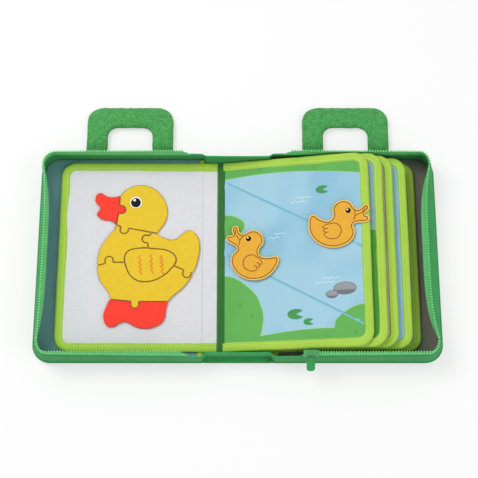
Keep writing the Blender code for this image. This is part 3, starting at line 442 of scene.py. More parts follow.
def studioAir():
    world = bpy.data.worlds.new("studio air")
    bpy.context.scene.world = world
    world.use_nodes = True
    world.node_tree.nodes["Background"].inputs[0].default_value = (1, 1, 1, 1)
    world.node_tree.nodes["Background"].inputs[1].default_value = studio["air"]
    bpy.context.scene.view_settings.view_transform = "Standard"


plainFloor()
for name, (place, power, size) in studio["lamps"].items():
    lampAt(name, place, power, size)
photoCamera()
studioAir()
print("studio ready")


# pages: padded cloth with a lime tape folded over three edges and a sewn root at the spine
page = {
    "start": {1: 0.0080, 2: 0.0056}, "laterStart": 0.0026, "shy": 0.0012, "rows": 60, "columns": 44,
    "crinkle": 0.00030, "endRound": 0.004, "bindStart": {1: 0.0085}, "laterBindStart": 0.0045,
    "bindWidth": 0.0086, "bindThick": 0.0007, "stitchPitch": 0.0030, "stitchIn": 0.0072,
    "finish": {1: "white", 2: "pond", 3: "meadow", 4: "sand", 5: "sky", 6: "white"},
    "rumples": ((0.030, 1.6, 3, 1.0), (0.012, 1.0, 7, 0.7)),  # size, share of crinkle, seed, stretch across
    "fill": 0.35,
}
root = {
    "fold": ((-0.0355, 0, 0.0076), (-0.0392, 0, 0.0076)), "near": -0.0232, "far": -0.0394, "high": 0.0079,
    "thick": 0.0007, "arch": 0.0003, "half": 0.1103, "tapeFrom": -0.0082, "tapeTo": 0.0090,
    "sunk": 0.0002, "bump": 0.0003, "bumpSize": 0.012, "rows": 50, "columns": 22,
    "start": -0.0002, "end": {2: 0.0064}, "laterEnd": 0.0034, "laterHalf": 0.1105,
    "laterHigh": 0.0005, "laterLow": -0.0004, "laterRows": 30, "laterColumns": 5,
}


def leafPlace(leaf, along, across, above=0.0):
    # along from the sewn root, across towards +Y, above the middle of its thickness
    slope, side = leafSlopes[leaf], -1 if leaf == 1 else 1
    return Vector((leafRoots[leaf] + side * (along * math.cos(slope) - above * math.sin(slope)),
                   across, leafShape["hinge"] + along * math.sin(slope) + above * math.cos(slope)))


def pageUp(leaf):
    return (leafPlace(leaf, 0.1, 0, 0.001) - leafPlace(leaf, 0.1, 0, 0)).normalized()


def acrossAt(across):
    # the sewn pages come out a little short at the front
    return across * 0.9865 + 0.0015


def padHalf(along):
    # half the thickness of the padding at a distance from the root
    return (leafShape["root"] + (leafShape["full"] - leafShape["root"]) * along / leafShape["length"]) / 2


def pageSkin(leaf, along, across):
    # height of the upper face over the leaf's middle plane
    half = halfAt(along, leafShape["length"], leafShape["half"], leafShape["corner"])
    share = min(1, abs(across) / max(half, 0.001))
    crown = padHalf(along) * (1 - share ** 14) ** 0.5
    rumple = sum(bumpy((along, across * stretch, leaf), size, page["crinkle"] * share, leaf * seed)
                 for size, share, seed, stretch in page["rumples"])
    return max(0.0004, crown + rumple * min(1, along / 0.03) * (1 - share ** 6))


def makePad(leaf):
    start, end = page["start"].get(leaf, page["laterStart"]), leafShape["length"] - page["shy"]
    rings = []
    for share in eased(page["rows"], 0.5):
        along = start + (end - start) * share
        half = halfAt(along, end, leafShape["half"] - page["shy"], leafShape["corner"])
        near = min(1, (end - along) / page["endRound"])
        taper = math.sqrt(max(0.02, 1 - (1 - near) ** 2))
        spots = []
        for step in eased(page["columns"], 0.6):
            across = -half + 2 * half * step
            spots.append((acrossAt(across), pageSkin(leaf, along, across) * taper))
        rings.append([leafPlace(leaf, along, across, height) for across, height in spots]
                     + [leafPlace(leaf, along, across, -height) for across, height in spots[::-1]])
    return loft(f"page{leaf}", rings)


def bindPath(start):
    # stations round the open edges of a page: (along, across, inward direction)
    length, half, corner = leafShape["length"], leafShape["half"], leafShape["corner"]

    def cornerSpots(end, turns):
        return [(length - corner + c * corner, end * (half - corner) + s * corner, (-c, -s))
                for c, s in map(compass, turns)]

    stations = [(a, -half, (0, 1)) for a in even(start, length - corner, 34)]
    stations += cornerSpots(-1, even(-90, 0, 9)[1:])
    stations += [(length, y, (-1, 0)) for y in even(-half + corner, half - corner, 40)[1:]]
    stations += cornerSpots(1, even(0, 90, 9)[1:])
    stations += [(a, half, (0, -1)) for a in even(length - corner, start, 34)[1:]]
    return [(along, acrossAt(across), inward) for along, across, inward in stations]


def bindingRing(leaf, along, across, inward):
    # the folded tape's outline at one station: distance in from the edge, rise and tuck
    width, seam = page["bindWidth"], page["stitchIn"]
    profile = [(width + 0.0016, 0.0, -0.3), (width, 0.35, 0), (width - 0.0003, 0.95, 0), (seam + 0.0008, 1.05, 0),
               (seam, 0.55, 0), (seam - 0.0008, 1.05, 0), (0.0040, 1.25, 0), (0.0018, 1.05, 0),
               (0.0006, 0.60, -0.25), (0.0000, 0.0, -0.75)]
    pucker = bumpy((along, across, leaf * 2), 0.006, 0.12, leaf)
    edge = bumpy((along, across, 5 + leaf), 0.02, 0.0003)
    upper = []
    for inset, rise, tuck in profile:
        height = padHalf(along) * (1 + tuck) + page["bindThick"] * (rise + pucker * (0.3 + rise))
        upper.append((along + inward[0] * (inset + edge), across + inward[1] * (inset + edge), max(0.0001, height)))
    return ([leafPlace(leaf, a, c, h) for a, c, h in upper]
            + [leafPlace(leaf, a, c, -h) for a, c, h in upper[::-1]])


def makeBinding(leaf):
    path = bindPath(page["bindStart"].get(leaf, page["laterBindStart"]))
    return loft(f"page{leaf}Binding", [bindingRing(leaf, *spot) for spot in path])


def modelStitch(length, width, height):
    # one short raised thread along X: a three-sided bar, thick in the middle, that dips in at both ends
    quarter = math.pi / 2
    thick, taper, dip = 0.28 * length, 0.55, -0.6
    bpy.ops.object.select_all(action="DESELECT")
    bpy.ops.mesh.primitive_circle_add(vertices=3, radius=1, fill_type="NGON", rotation=(quarter, 0, quarter))
    stitch = startPiece("stitch")
    bpy.ops.transform.resize(value=(1, width / math.cos(math.pi / 6), 0.4 * height), center_override=(0, 0, 0))
    bpy.ops.transform.translate(value=(-thick, 0, 0.6 * height))
    extrudeBy((2 * thick, 0, 0), (1, 1, 1))
    faceOutwards()  # before the ends dip, which would turn the whole thread inside out
    for way in (-1, 1):
        selectWhere(stitch, "faces", lambda p: p.x * way > thick * 0.9)
        extrudeBy((way * (length / 2 - thick), 0, 0), (1, taper, dip))
    bpy.ops.object.mode_set(mode="OBJECT")
    return stitch


def stitches(name, spots, finish, body, length=0.0019, width=0.00042, height=0.00022):
    # short raised threads: spots hold (middle, direction, up)
    places = []
    for middle, direction, up in spots:
        direction, up = direction.normalized(), up.normalized()
        places.append(turned(direction, up.cross(direction), up, middle))
    return dress(repeated(name, modelStitch(length, width, height), places), finish, body)


def bindingStitches(leaf):
    spots, travelled = [], 0
    path = bindPath(0.012)
    for (a, c, inward), (a2, c2, inward2) in zip(path, path[1:]):
        gap = math.hypot(a2 - a, c2 - c)
        while travelled < gap:
            share = travelled / gap
            mid = Vector(inward).lerp(Vector(inward2), share)
            along = a + (a2 - a) * share + mid.x * page["stitchIn"]
            across = c + (c2 - c) * share + mid.y * page["stitchIn"]
            top = padHalf(along) + page["bindThick"] * 0.75
            here = leafPlace(leaf, along, across, top)
            ahead = leafPlace(leaf, along + (a2 - a) / gap * 0.001, across + (c2 - c) / gap * 0.001, top)
            spots.append((here, ahead - here, leafPlace(leaf, along, across, top + 0.001) - here))
            travelled += page["stitchPitch"]
        travelled -= gap
    return stitches(f"page{leaf}Stitches", spots, "limeThread", f"leaf_{leaf}")


def makeRootTapes():
    # the lime tape of page 1 runs on beside its root, over the fold
    for end, word in ((-1, "Front"), (1, "Back")):
        across = acrossAt(end * leafShape["half"])
        rings = [bindingRing(1, along, across, (0, -end)) for along in even(root["tapeFrom"], root["tapeTo"], 16)]
        tape = dress(loft(f"page1RootTape{word}", rings), "lime")
        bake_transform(tape)


def makeRoots():
    near, far = root["near"], root["far"]
    rings = []
    for y in even(acrossAt(-root["half"]), acrossAt(root["half"]), root["rows"]):
        top, bottom = [], []
        for x in even(near, far, root["columns"]):
            arch = root["arch"] * math.sin(math.pi * (x - near) / (far - near)) - root["sunk"]
            high = root["high"] + arch + bumpy((x, y, 2), root["bumpSize"], root["bump"])
            top.append(Vector((x, y, high)))
            bottom.append(Vector((x, y, high - root["thick"])))
        rings.append(top + bottom[::-1])
    cloth = dress(loft("page1Root", rings), "white", replaces="leaf_1_hem")
    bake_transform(cloth)
    for leaf in range(2, 7):
        steps = even(root["start"], root["end"].get(leaf, root["laterEnd"]), root["laterColumns"])
        rings = []
        for across in even(acrossAt(-root["laterHalf"]), acrossAt(root["laterHalf"]), root["laterRows"]):
            upper = [leafPlace(leaf, a, across, root["laterHigh"] + 0.0001 * (a > 0.0016)) for a in steps]
            rings.append(upper + [leafPlace(leaf, a, across, root["laterLow"]) for a in steps[::-1]])
        # page 2's root gets the darker gutter cloth, painted shade where it lies in the gutter
        finish = "hem" if leaf == 2 else page["finish"][leaf]
        dress(loft(f"page{leaf}Root", rings), finish, f"leaf_{leaf}", f"leaf_{leaf}_hem")


# case: soft walls with their zips round both covers; pairs of leans are at the seam and at the zip
wall = {
    "rowsUp": 12, "seam": 0.0303, "thick": 0.0015, "hem": 0.0011, "hemHigh": 0.0032, "dip": 0.0026,
    "foldsDeep": 0.0010, "foldPitch": 0.0085, "bump": 0.0016, "bumpSize": 0.028, "step": 0.0035,
    "tapeUnder": 0.0012, "tapeFaces": (0.0002, 0.0010), "tapeGrow": 0.012, "tapeRunOn": 0.004, "keep": 0.12,
    "toothPitch": 0.0030, "toothLong": 0.0015, "toothWide": 0.0028, "toothHigh": 0.0036,
    "toothSunk": 0.0008, "toothOffset": 0.0006,
    "toothBody": 0.55, "toothChamfer": (0.45, 0.28), "toothEnd": (0.72, 0.972),  # shares of a tooth's size
    "zipStart": {(-1, -1): 0.019, (-1, 1): 0.019, (1, -1): 0.0345, (1, 1): 0.018},
    "corner": {(-1, -1): (0.0060, 0.0085), (-1, 1): (0.0040, 0.0055), (1, -1): (0.0060, 0.0085),
               (1, 1): (0.0060, 0.0085)},
    "middle": {-1: (0.0130, 0.0098), 1: (0.0192, 0.0142)}, "endCorner": (0.0028, 0.0036),
    "spineEnd": {(-1, -1): (0.0008, 0.0046), (-1, 1): (0.0034, 0.0024), (1, -1): (0.0012, 0.0036),
                 (1, 1): (0.0032, 0.0022)},
    "flat": (0.0275, 0.198),
}


def caseRun(part, first=0.002):
    # stations round a cover: (distance along, x, y, inward direction); part is front, outer or back
    reach, half, corner, fold = case["reach"], case["half"], case["corner"], case["fold"]
    straight = reach - corner - fold
    if part == "outer":
        count = int((half - corner) * 2 / wall["step"])
        return [(0.5 + y, reach, y, Vector((-1, 0))) for y in even(-(half - corner), half - corner, count)]
    stations = [(along, fold + along, -half, Vector((0, 1)))
                for along in even(first, straight, int(straight / wall["step"]))]
    for turn in even(-90, 0, 10)[1:]:
        c, s = compass(turn)
        stations.append((straight + corner * math.radians(turn + 90), reach - corner + c * corner,
                         -half + corner + s * corner, Vector((-c, -s))))
    if part == "back":
        stations = [(along, x, -y, Vector((i.x, -i.y))) for along, x, y, i in stations]
    return stations


def wallSpot(side, station, height, offset=0.0):
    # a place on the soft wall of a cover; offset is towards the pages
    along, x, y, inward = station
    foot, rise = case["panelTop"], case["chainTop"] - case["panelTop"]
    share, seam = max(0.0, (height - foot) / rise), (wall["seam"] - foot) / rise
    straightPart, end = case["half"] - case["corner"], -1 if y < 0 else 1
    onOuter = abs(y) < straightPart - 1e-6

    def leanBetween(one, two, way):
        atSeam, atTop = one[0] + (two[0] - one[0]) * way, one[1] + (two[1] - one[1]) * way
        if share <= seam:
            return atSeam * (share / seam) ** (1 + 0.5 * way)
        return atSeam + (atTop - atSeam) * ((share - seam) / (1 - seam)) ** 0.8

    sideways = wall["corner"][(side, end)]
    middleWay, spineWay, quiet = 0.0, 0.0, 0.4
    if onOuter:
        middleWay = max(0.0, 1 - (abs(y) / straightPart) ** 4)
        quiet = min(1.0, (straightPart - abs(y)) / 0.02)
        other, part = wall["corner"][(side, -end)], (straightPart - abs(y)) / (2 * straightPart)
        sideways = tuple(p + (q - p) * part for p, q in zip(sideways, other))
    else:
        spineWay = max(0.0, 1 - along / (case["reach"] - case["corner"] - case["fold"])) ** 0.8
    slack = math.sin(math.pi * min(1, share / 0.72))
    soft = bumpy((along * 0.8, height * 0.5, y), wall["bumpSize"], wall["bump"], side * 2) * slack * quiet
    rounding = 1 - max(abs(inward.x), abs(inward.y)) ** 8
    gathers = math.sin(along / wall["foldPitch"] * 2 * math.pi) * wall["foldsDeep"] * rounding * slack
    lean = Vector((inward.x * leanBetween(sideways, wall["middle"][side], middleWay),
                   inward.y * leanBetween(wall["endCorner"], wall["spineEnd"][(side, end)], spineWay)))
    place = Vector((x, y)) + inward * (case["wallInset"] + offset + soft + gathers) + lean
    return Vector((side * place.x, place.y, height))


def topOfWall(side, part, along):
    # the plain wall near the spine is a little lower than at the zip
    if part == "outer":
        return wall["seam"]
    return wall["seam"] - wall["dip"] * (1 - min(1, along / wall["zipStart"][(side, endOf[part])])) ** 1.5


def gussetPart(side, part):
    rings = []
    for station in caseRun(part):
        top = topOfWall(side, part, station[0])
        outerSide, innerSide = [], []
        for height in even(case["wallFoot"], top, wall["rowsUp"]):
            near = max(0, 1 - (top - height) / wall["hemHigh"])
            half = wall["thick"] / 2 * (1 - 0.25 * (near > 0)) + wall["hem"] / 2 * math.sin(math.pi * near)
            outerSide.append(wallSpot(side, station, height, -half))
            innerSide.append(wallSpot(side, station, height, half))
        rings.append(outerSide + innerSide[::-1])
    return loft(f"{sideWords[side]}Wall{part.capitalize()}", rings)


def tapePart(side, part):
    start = wall["zipStart"][(side, endOf[part])] - wall["tapeRunOn"]
    outer, inner = wall["tapeFaces"]
    rings = []
    for station in caseRun(part, start):
        grown = 1 if part == "outer" else min(1, max(0.0, (station[0] - start) / wall["tapeGrow"]))
        low = topOfWall(side, part, station[0]) - wall["tapeUnder"]
        least = low + 0.0014  # the tape starts as a narrow strip and grows to its full height
        heights = even(low, least + (case["tapeTop"] - least) * math.sin(grown * math.pi / 2), 6)
        rings.append([wallSpot(side, station, height, outer) for height in heights]
                     + [wallSpot(side, station, height, inner) for height in heights[::-1]])
    return loft(f"{sideWords[side]}ZipTape{part.capitalize()}", rings)


def modelTooth():
    # one moulded tooth: a bar over the tape's edge with a chamfered top and narrower ends
    w = wall
    rise = w["toothChamfer"][0] / w["toothChamfer"][1]  # at this height both chamfers come out alike
    body, end = w["toothBody"], 1 - w["toothBody"]
    bpy.ops.object.select_all(action="DESELECT")
    bpy.ops.mesh.primitive_cube_add(size=2, location=(0, 0, rise / 2), scale=(body, 1, rise / 2))
    tooth = startPiece("zip tooth")
    selectWhere(tooth, "edges", lambda p: p.z > rise * 0.9 and abs(p.y) > 0.9 and abs(p.x) < 0.1)
    bpy.ops.mesh.bevel(offset=w["toothChamfer"][0], offset_type="OFFSET", segments=1, affect="EDGES")
    for way in (-1, 1):
        selectWhere(tooth, "faces", lambda p: p.x * way > body * 0.9)
        extrudeBy((way * end, 0, 0), (1, *w["toothEnd"]))
    faceOutwards()
    bpy.ops.object.mode_set(mode="OBJECT")
    tooth.data.transform(Matrix.Diagonal((w["toothLong"] / 2, w["toothWide"] / 2, w["toothHigh"] / rise, 1)))
    return tooth


def teethPart(side, part):
    stations = caseRun(part, wall["zipStart"][(side, endOf[part])] + wall["tapeRunOn"])
    low = case["tapeTop"] - wall["toothSunk"]
    places, travelled = [], wall["toothPitch"] / 2
    for one, two in zip(stations, stations[1:]):
        a, b, a2, b2 = (wallSpot(side, station, height, wall["toothOffset"])
                        for height in (low, low + 0.003) for station in (one, two))
        gap = (b - a).length
        while travelled < gap:
            share = travelled / gap
            middle, above = a.lerp(b, share), a2.lerp(b2, share)
            along, up = (b - a).normalized(), (above - middle).normalized()
            places.append(turned(along, up.cross(along).normalized(), up, middle))
            travelled += wall["toothPitch"]
        travelled -= gap
    return repeated(f"{sideWords[side]}ZipTeeth{part.capitalize()}", modelTooth(), places, 25)


def makeWalls(side):
    # the soft wall, zip tape and teeth of a cover, each in front, outer and back parts; the outer parts get their
    # own copy of their mesh
    word = sideWords[side]
    for part in ("front", "outer", "back"):
        for maker, finish, slotName, node in ((gussetPart, "case", "case_cloth", "gusset"),
                                              (tapePart, "tape", "zip_tape", "zip_tape"),
                                              (teethPart, "teeth", "zip_teeth", "zip_chain")):
            piece = dress(maker(side, part), finish, f"{word}_cover", f"{word}_{node}")
            if part == "outer":
                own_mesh(piece)


board = {
    "from": 0.0006, "soft": 0.0012, "rows": 30, "columns": 22, "fill": 0.9,
    "liningFrom": 0.0020, "liningShort": 0.0034, "liningNarrow": 0.0030, "liningLow": 0.0043, "liningHigh": 0.0053,
    "liningRows": 40, "liningColumns": 30, "liningSoft": 0.0008, "liningRumple": 0.0006,
    "liningFlat": (0.184, 0.234), "tapeShort": 0.0036,
    "tape": ((0.0384, 0.0045), (0.0383, 0.0056), (0.0390, 0.0062), (0.0412, 0.0064), (0.0436, 0.0061),
             (0.0440, 0.0054), (0.0410, 0.0050)),
    "pipingIn": 0.0006, "pipingRadius": 0.0011, "pipingHigh": 0.0040, "pipingSides": 8,
}


def roundedBoard(side, name, near, far, half, corner, low, high, rows, columns, soft, rumple=0.0):
    # a padded board or lining with soft edges; corner rounds only the far end
    middle, thick = (low + high) / 2, (high - low) / 2
    rings = []
    for share in eased(rows, 0.8):
        x = near + (far - near) * share
        width = halfAt(x - near, far - near, half, corner)
        endFall = roundedFall(min(x - near, far - x), soft)
        top, bottom = [], []
        for step in eased(columns, 0.85):
            y = -width + 2 * width * step
            fall = roundedFall(width - abs(y), soft) * endFall
            wave = bumpy((x, y, side), 0.035, rumple) + bumpy((x, y, 3 + side), 0.014, rumple * 0.5)
            top.append(Vector((side * x, y, middle + thick * fall + max(-thick * 0.5, wave) * fall)))
            bottom.append(Vector((side * x, y, middle - thick * fall)))
        rings.append(top + bottom[::-1])
    return loft(name, rings)


def piping(side, word):
    # the sewn seam cord between board and wall
    rings = []
    for _, x, y, inward in caseRun("front")[:-1] + caseRun("outer") + caseRun("back")[::-1][1:]:
        inset = inward * board["pipingIn"]
        middle = Vector((side * (x + inset.x), y + inset.y, board["pipingHigh"]))
        away = Vector((side * inward.x, inward.y, 0)) * board["pipingRadius"]
        rings.append([middle + away * c + Vector((0, 0, board["pipingRadius"] * s))
                      for c, s in map(compass, even(0, 360, board["pipingSides"])[:-1])])
    dress(loft(f"{word}Piping", rings), "case", f"{word}_cover")


def makeBoards():
    fold, reach, half, corner = case["fold"], case["reach"], case["half"], case["corner"]
    for side, word in sideWords.items():
        panel = roundedBoard(side, f"{word}Board", fold + board["from"], reach, half, corner, 0.0, case["panelTop"],
                             board["rows"], board["columns"], board["soft"])
        dress(panel, "case", f"{word}_cover", f"{word}_cover_panel")
        lining = roundedBoard(side, f"{word}Lining", fold + board["liningFrom"], reach - board["liningShort"],
                              half - board["liningNarrow"], corner - board["liningNarrow"], board["liningLow"],
                              board["liningHigh"], board["liningRows"], board["liningColumns"],
                              board["liningSoft"], board["liningRumple"])
        shade = "teal" if side < 0 else "grey"
        dress(lining, f"{shade}Lining", f"{word}_cover", f"{word}_cover_lining")
        piping(side, word)
        reachY = half - board["tapeShort"]
        tape = sweep(f"{word}LiningBinding", even(-reachY, reachY, 60),
                     lambda y: [(side * (x + bumpy((y, side, 0), 0.02, 0.0002)), z) for x, z in board["tape"]])
        dress(tape, "lime", f"{word}_cover", f"{word}_lining_binding")


spine = {
    "row": ((-0.0374, 0.5), (-0.0370, 0.9), (-0.030, 1), (0, 1), (0.030, 1), (0.0370, 0.9), (0.0374, 0.5)),
    "liningHalf": 0.1118, "liningReach": 0.0352, "liningLow": 0.0043, "liningHigh": 0.0053,
    "liningFlat": (0.0704, 0.2236), "hingeShort": 0.0008, "hingeFold": (0.0365, 0.0395),
    "hinge": {"Outer": (-0.0002, 0.0004, 0.030, 0.048), "Inner": (0.0039, 0.0045, 0.0345, 0.0415)},
}


def makeSpine():
    half, middle = case["half"], case["panelTop"] / 2

    def panelCut(y):
        rise = middle * roundedFall(half - abs(y), board["soft"])
        return ([(x, middle + rise * z) for x, z in spine["row"]]
                + [(x, middle - rise * z) for x, z in spine["row"][::-1]])

    def liningCut(y):
        xs = even(-spine["liningReach"], spine["liningReach"], 16)
        return ([(x, spine["liningHigh"] + bumpy((x, y, 9), 0.02, 0.0002)) for x in xs]
                + [(x, spine["liningLow"]) for x in xs[::-1]])

    panel = sweep("spineBoard", even(-half, half, 40), panelCut)
    dress(panel, "case", "spine", "spine_panel")
    lining = sweep("spineLining", even(-spine["liningHalf"], spine["liningHalf"], 50), liningCut)
    dress(lining, "tealLining", "spine", "spine_lining")
    for side, word in sideWords.items():
        hingeCloth(side, word)


def hingeCloth(side, word):
    # the outer cloth runs on over the fold, and a narrow strip of the same cloth covers it inside
    half, (start, end) = case["half"] - spine["hingeShort"], spine["hingeFold"]
    for name, (low, high, near, far) in spine["hinge"].items():
        xs = even(near, far, 18)
        cut = [(side * x, high) for x in xs] + [(side * x, low) for x in xs[::-1]]
        strip = dress(sweep(f"{word}Hinge{name}", even(-half, half, 30), lambda y: cut), "case")
        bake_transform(strip)


gutter = {
    "middles": {"left": -0.026, "middle": 0.0, "right": 0.026}, "half": 0.1108, "low": 0.0057, "high": 0.0011,
    "row": ((-0.0055, 0.0), (-0.0053, 0.7), (-0.0035, 1.0), (-0.0012, 1.1), (0.0, 0.35), (0.0012, 1.1),
            (0.0035, 1.0), (0.0053, 0.7), (0.0055, 0.0)),
    "under": 0.0056, "sway": 0.0003, "flat": (0.0125, 0.2216),
}


def makeGutter():
    # three folded strips that hold the pages, each with a stitched groove along its middle
    for name, middle in gutter["middles"].items():
        def cut(y):
            sway = bumpy((y, middle, 1), 0.03, gutter["sway"])
            top = [(middle + x + sway * (abs(x) < 0.002), gutter["low"] + gutter["high"] * z)
                   for x, z in gutter["row"]]
            return top + [(middle + x, gutter["under"]) for x in (0.004, 0.0, -0.004)]

        strip = sweep(f"{name}Gutter", even(-gutter["half"], gutter["half"], 60), cut)
        dress(strip, "gutter", "spine", f"{name}_gutter_strip")


endStrip = {
    "reach": 0.0350, "place": 0.1121, "low": 0.0057, "high": 0.0283, "sag": 0.00088, "thick": 0.0004,
    "flat": (0.070, 0.0235),
    "goreFrom": 0.0346, "goreHigh": 0.0224, "goreThick": 0.00055, "goreFold": (0.0360, 0.0400),
}


def makeEndStrips():
    # the plain cloth that closes both ends of the spine between the zips
    e = endStrip
    for side, word in ((-1, "front"), (1, "back")):
        rings = []
        for x in even(-e["reach"], e["reach"], 40):
            sag = e["sag"] * (1 - (x / e["reach"]) ** 2)
            outer, inner = [], []
            for share in even(0, 1, 10):
                z = e["low"] + (e["high"] - e["low"] - sag) * share
                y = e["place"] + bumpy((x, share, side), 0.05, 0.0003)
                thick = e["thick"] * (1 + (share > 0.93))  # a rolled hem on top
                outer.append(Vector((x, side * (y + thick), z)))
                inner.append(Vector((x, side * (y - thick), z)))
            rings.append(outer + inner[::-1])
        strip = dress(loft(f"{word}EndStrip", rings), "case", "spine", f"{word}_gusset_strip")


def makeFoldGores():
    # the end strips run on round both folds into the walls
    e = endStrip
    thick = Vector((0, e["goreThick"], 0))
    for side, word in sideWords.items():
        for part, way in (("front", -1), ("back", 1)):
            station, rings = caseRun(part)[0], []
            top = topOfWall(side, part, station[0])
            for share in even(0, 1, 12):
                outer, inner = [], []
                for up in even(0, 1, 10):
                    near = Vector((side * e["goreFrom"], way * e["place"], e["low"] + e["goreHigh"] * up))
                    far = wallSpot(side, station, e["low"] + (top - e["low"]) * up)
                    spot = near.lerp(far, share * share * (3 - 2 * share))
                    spot.x = near.x + (far.x + side * 0.0006 - near.x) * share
                    outer.append(spot + thick * way)
                    inner.append(spot - thick * way)
                rings.append(outer + inner[::-1])
            gore = dress(loft(f"{part}{word.capitalize()}Gore", rings), "case")
            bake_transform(gore)


handle = {
    "middle": 0.125, "halfSpan": 0.0380, "corner": 0.0235, "square": 0.0078, "foot": 0.1215, "top": 0.1685,
    "width": 0.0240, "thick": 0.0086, "flat": 0.0030, "height": 0.0050, "footHeight": 0.0036, "flare": 0.016,
    "crease": 0.0007, "pleat": 0.0003, "around": 28, "fill": 0.85,
    "seam": (0.002, 0.008), "seamHalf": 0.009, "seamHigh": 0.0056, "seamLean": 0.14, "threadLong": 0.0022,
}


def handleRoute():
    # the middle line of the strip: place and forward direction
    reach, top, corner = handle["halfSpan"], handle["top"], handle["corner"]
    spots = [(Vector((-reach, y)), Vector((0, 1))) for y in even(handle["foot"], top - corner, 14)]
    for c, s in map(compass, even(180, 90, 12)[1:]):
        spots.append((Vector((-reach + corner + c * corner, top - corner + s * corner)), Vector((s, -c))))
    spots += [(Vector((x, top)), Vector((1, 0))) for x in even(-reach + corner, 0, 10)[1:]]
    return spots + [(Vector((-p.x, p.y)), Vector((d.x, -d.y))) for p, d in spots[-2::-1]]


def makeHandle(side):
    # a padded webbing loop, pressed thin at its sewn feet and squarer outside at its corners
    word, h = sideWords[side], handle
    rings, route, travelled = [], handleRoute(), 0
    for count, (spot, forward) in enumerate(route):
        if count:
            travelled += (spot - route[count - 1][0]).length
        fromEnd = min(spot.y - h["foot"], 1) if abs(spot.x) > h["halfSpan"] - 0.001 else 1
        full = min(1, max(0, fromEnd / h["flare"]))
        thick = h["flat"] + (h["thick"] - h["flat"]) * math.sin(full * math.pi / 2)
        middle = h["height"] * full + (1 - full) * h["footHeight"]
        acrossWay = Vector((forward.y, -forward.x))
        squarer = h["square"] * abs(2 * forward.x * forward.y) ** 2.6
        onLoop = abs(spot.x) < h["halfSpan"] - 0.002 and spot.y > h["top"] - h["corner"]
        ring = []
        for c, s in (compass(turn / h["around"] * 360) for turn in range(h["around"])):
            wide = (h["width"] / 2 + (squarer if c < 0 else 0)) * math.copysign(abs(c) ** 0.62, c)
            high = thick / 2 * math.copysign(abs(s) ** 0.75, s)
            creased = bumpy((travelled, c * 0.01, s * 0.01), 0.010, h["crease"], side)
            if onLoop:
                creased += h["pleat"] * math.sin(travelled * 900) * (c < 0)
            place = spot + acrossWay * (wide + math.copysign(creased, c) * 0.6)
            ring.append(Vector((side * h["middle"] + place.x, place.y,
                                max(0.0004, middle + high + math.copysign(creased, s)))))
        rings.append(ring)
    loop = loft(f"{word}HandleLoop", rings, sharp=60)
    dress(loop, "webbing", f"{word}_handle", f"{word}_handle")
    spots = []
    for foot in (-1, 1):
        for up in even(*h["seam"], 2):
            for x in even(-h["seamHalf"], h["seamHalf"], 6):
                place = (side * h["middle"] + foot * h["halfSpan"] + x, h["foot"] + up,
                         h["seamHigh"] + up * h["seamLean"])
                spots.append((Vector(place), Vector((1, 0, 0)), Vector((0, 0, 1))))
    stitches(f"{word}HandleStitches", spots, "greenThread", f"{word}_handle", h["threadLong"])


# play pieces: felt shapes worked from copies of the imported solids, with sewn and printed lines on top, rim lines
# of painted shade and painted glints
felt = {
    "puzzleVoxel": 0.00055, "puzzleRounds": 6, "puzzleFill": 0.7, "rimGap": 0.0012, "rimIn": 0.00025,
    "rimRadius": 0.00028, "rimLift": -0.00022,
    "duckVoxel": 0.0005, "duckRounds": 4, "duckFill": 0.5, "edgeIn": 0.0007, "edgeRadius": 0.00060,
    "edgeLift": -0.0003, "outlineIn": 0.0021, "outlineRadius": 0.00044, "threadPitch": 0.0011,
}


def softCopy(node, name, voxel, rounds):
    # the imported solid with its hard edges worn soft, as cut and pressed felt has them
    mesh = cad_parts[node].data.copy()
    shape = bmesh.new()
    shape.from_mesh(mesh)
    bmesh.ops.remove_doubles(shape, verts=shape.verts, dist=1e-6)
    shape.to_mesh(mesh)
    shape.free()
    mesh.name = name
    piece = addObject(name, mesh)
    choose(piece)
    evenFaces = piece.modifiers.new("even faces", "REMESH")
    evenFaces.mode, evenFaces.voxel_size, evenFaces.adaptivity = "VOXEL", voxel, 0
    softer = piece.modifiers.new("soft edges", "SMOOTH")
    softer.factor, softer.iterations = 0.5, rounds
    for modifier in ("even faces", "soft edges"):
        bpy.ops.object.modifier_apply(modifier=modifier)
    bpy.ops.object.shade_smooth()
    return piece


def outlineOf(node, upward):
    # the rim of a flat piece's upper face, as an ordered loop of points
    shape = bmesh.new()
    shape.from_mesh(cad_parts[node].data)
    bmesh.ops.remove_doubles(shape, verts=shape.verts, dist=1e-6)
    shape.normal_update()
    top = max(v.co.dot(upward) for v in shape.verts)
    flat = [f for f in shape.faces
            if f.normal.dot(upward) > 0.9 and f.calc_center_median().dot(upward) > top - 0.0012]
    inFlat, links = set(flat), {}
    for face in flat:
        for edge in face.edges:
            if sum(1 for f in edge.link_faces if f in inFlat) == 1:
                a, b = edge.verts
                links.setdefault(a.index, []).append(b.index)
                links.setdefault(b.index, []).append(a.index)
    places = {v.index: v.co.copy() for v in shape.verts}
    shape.free()
    loops, seen = [], set()
    for start in links:
        if start in seen:
            continue
        loop, here, before = [start], start, None
        while True:
            seen.add(here)
            ahead = [n for n in links[here] if n != before and n not in seen]
            if not ahead:
                break
            before, here = here, ahead[0]
            loop.append(here)
        loops.append([places[i] for i in loop])
    return max(loops, key=len)


def resampled(loop, gap, closed=True):
    pairs = list(zip(loop, loop[1:] + loop[:1])) if closed else list(zip(loop, loop[1:]))
    total = sum((b - a).length for a, b in pairs)
    count = max(3, round(total / gap))
    step, spots, travelled, wanted = total / count, [], 0, 0
    for a, b in pairs:
        length = (b - a).length
        while wanted <= travelled + length + 1e-9 and len(spots) < count + (0 if closed else 1):
            spots.append(a.lerp(b, min(1, (wanted - travelled) / length if length else 0)))
            wanted += step
        travelled += length
    return spots


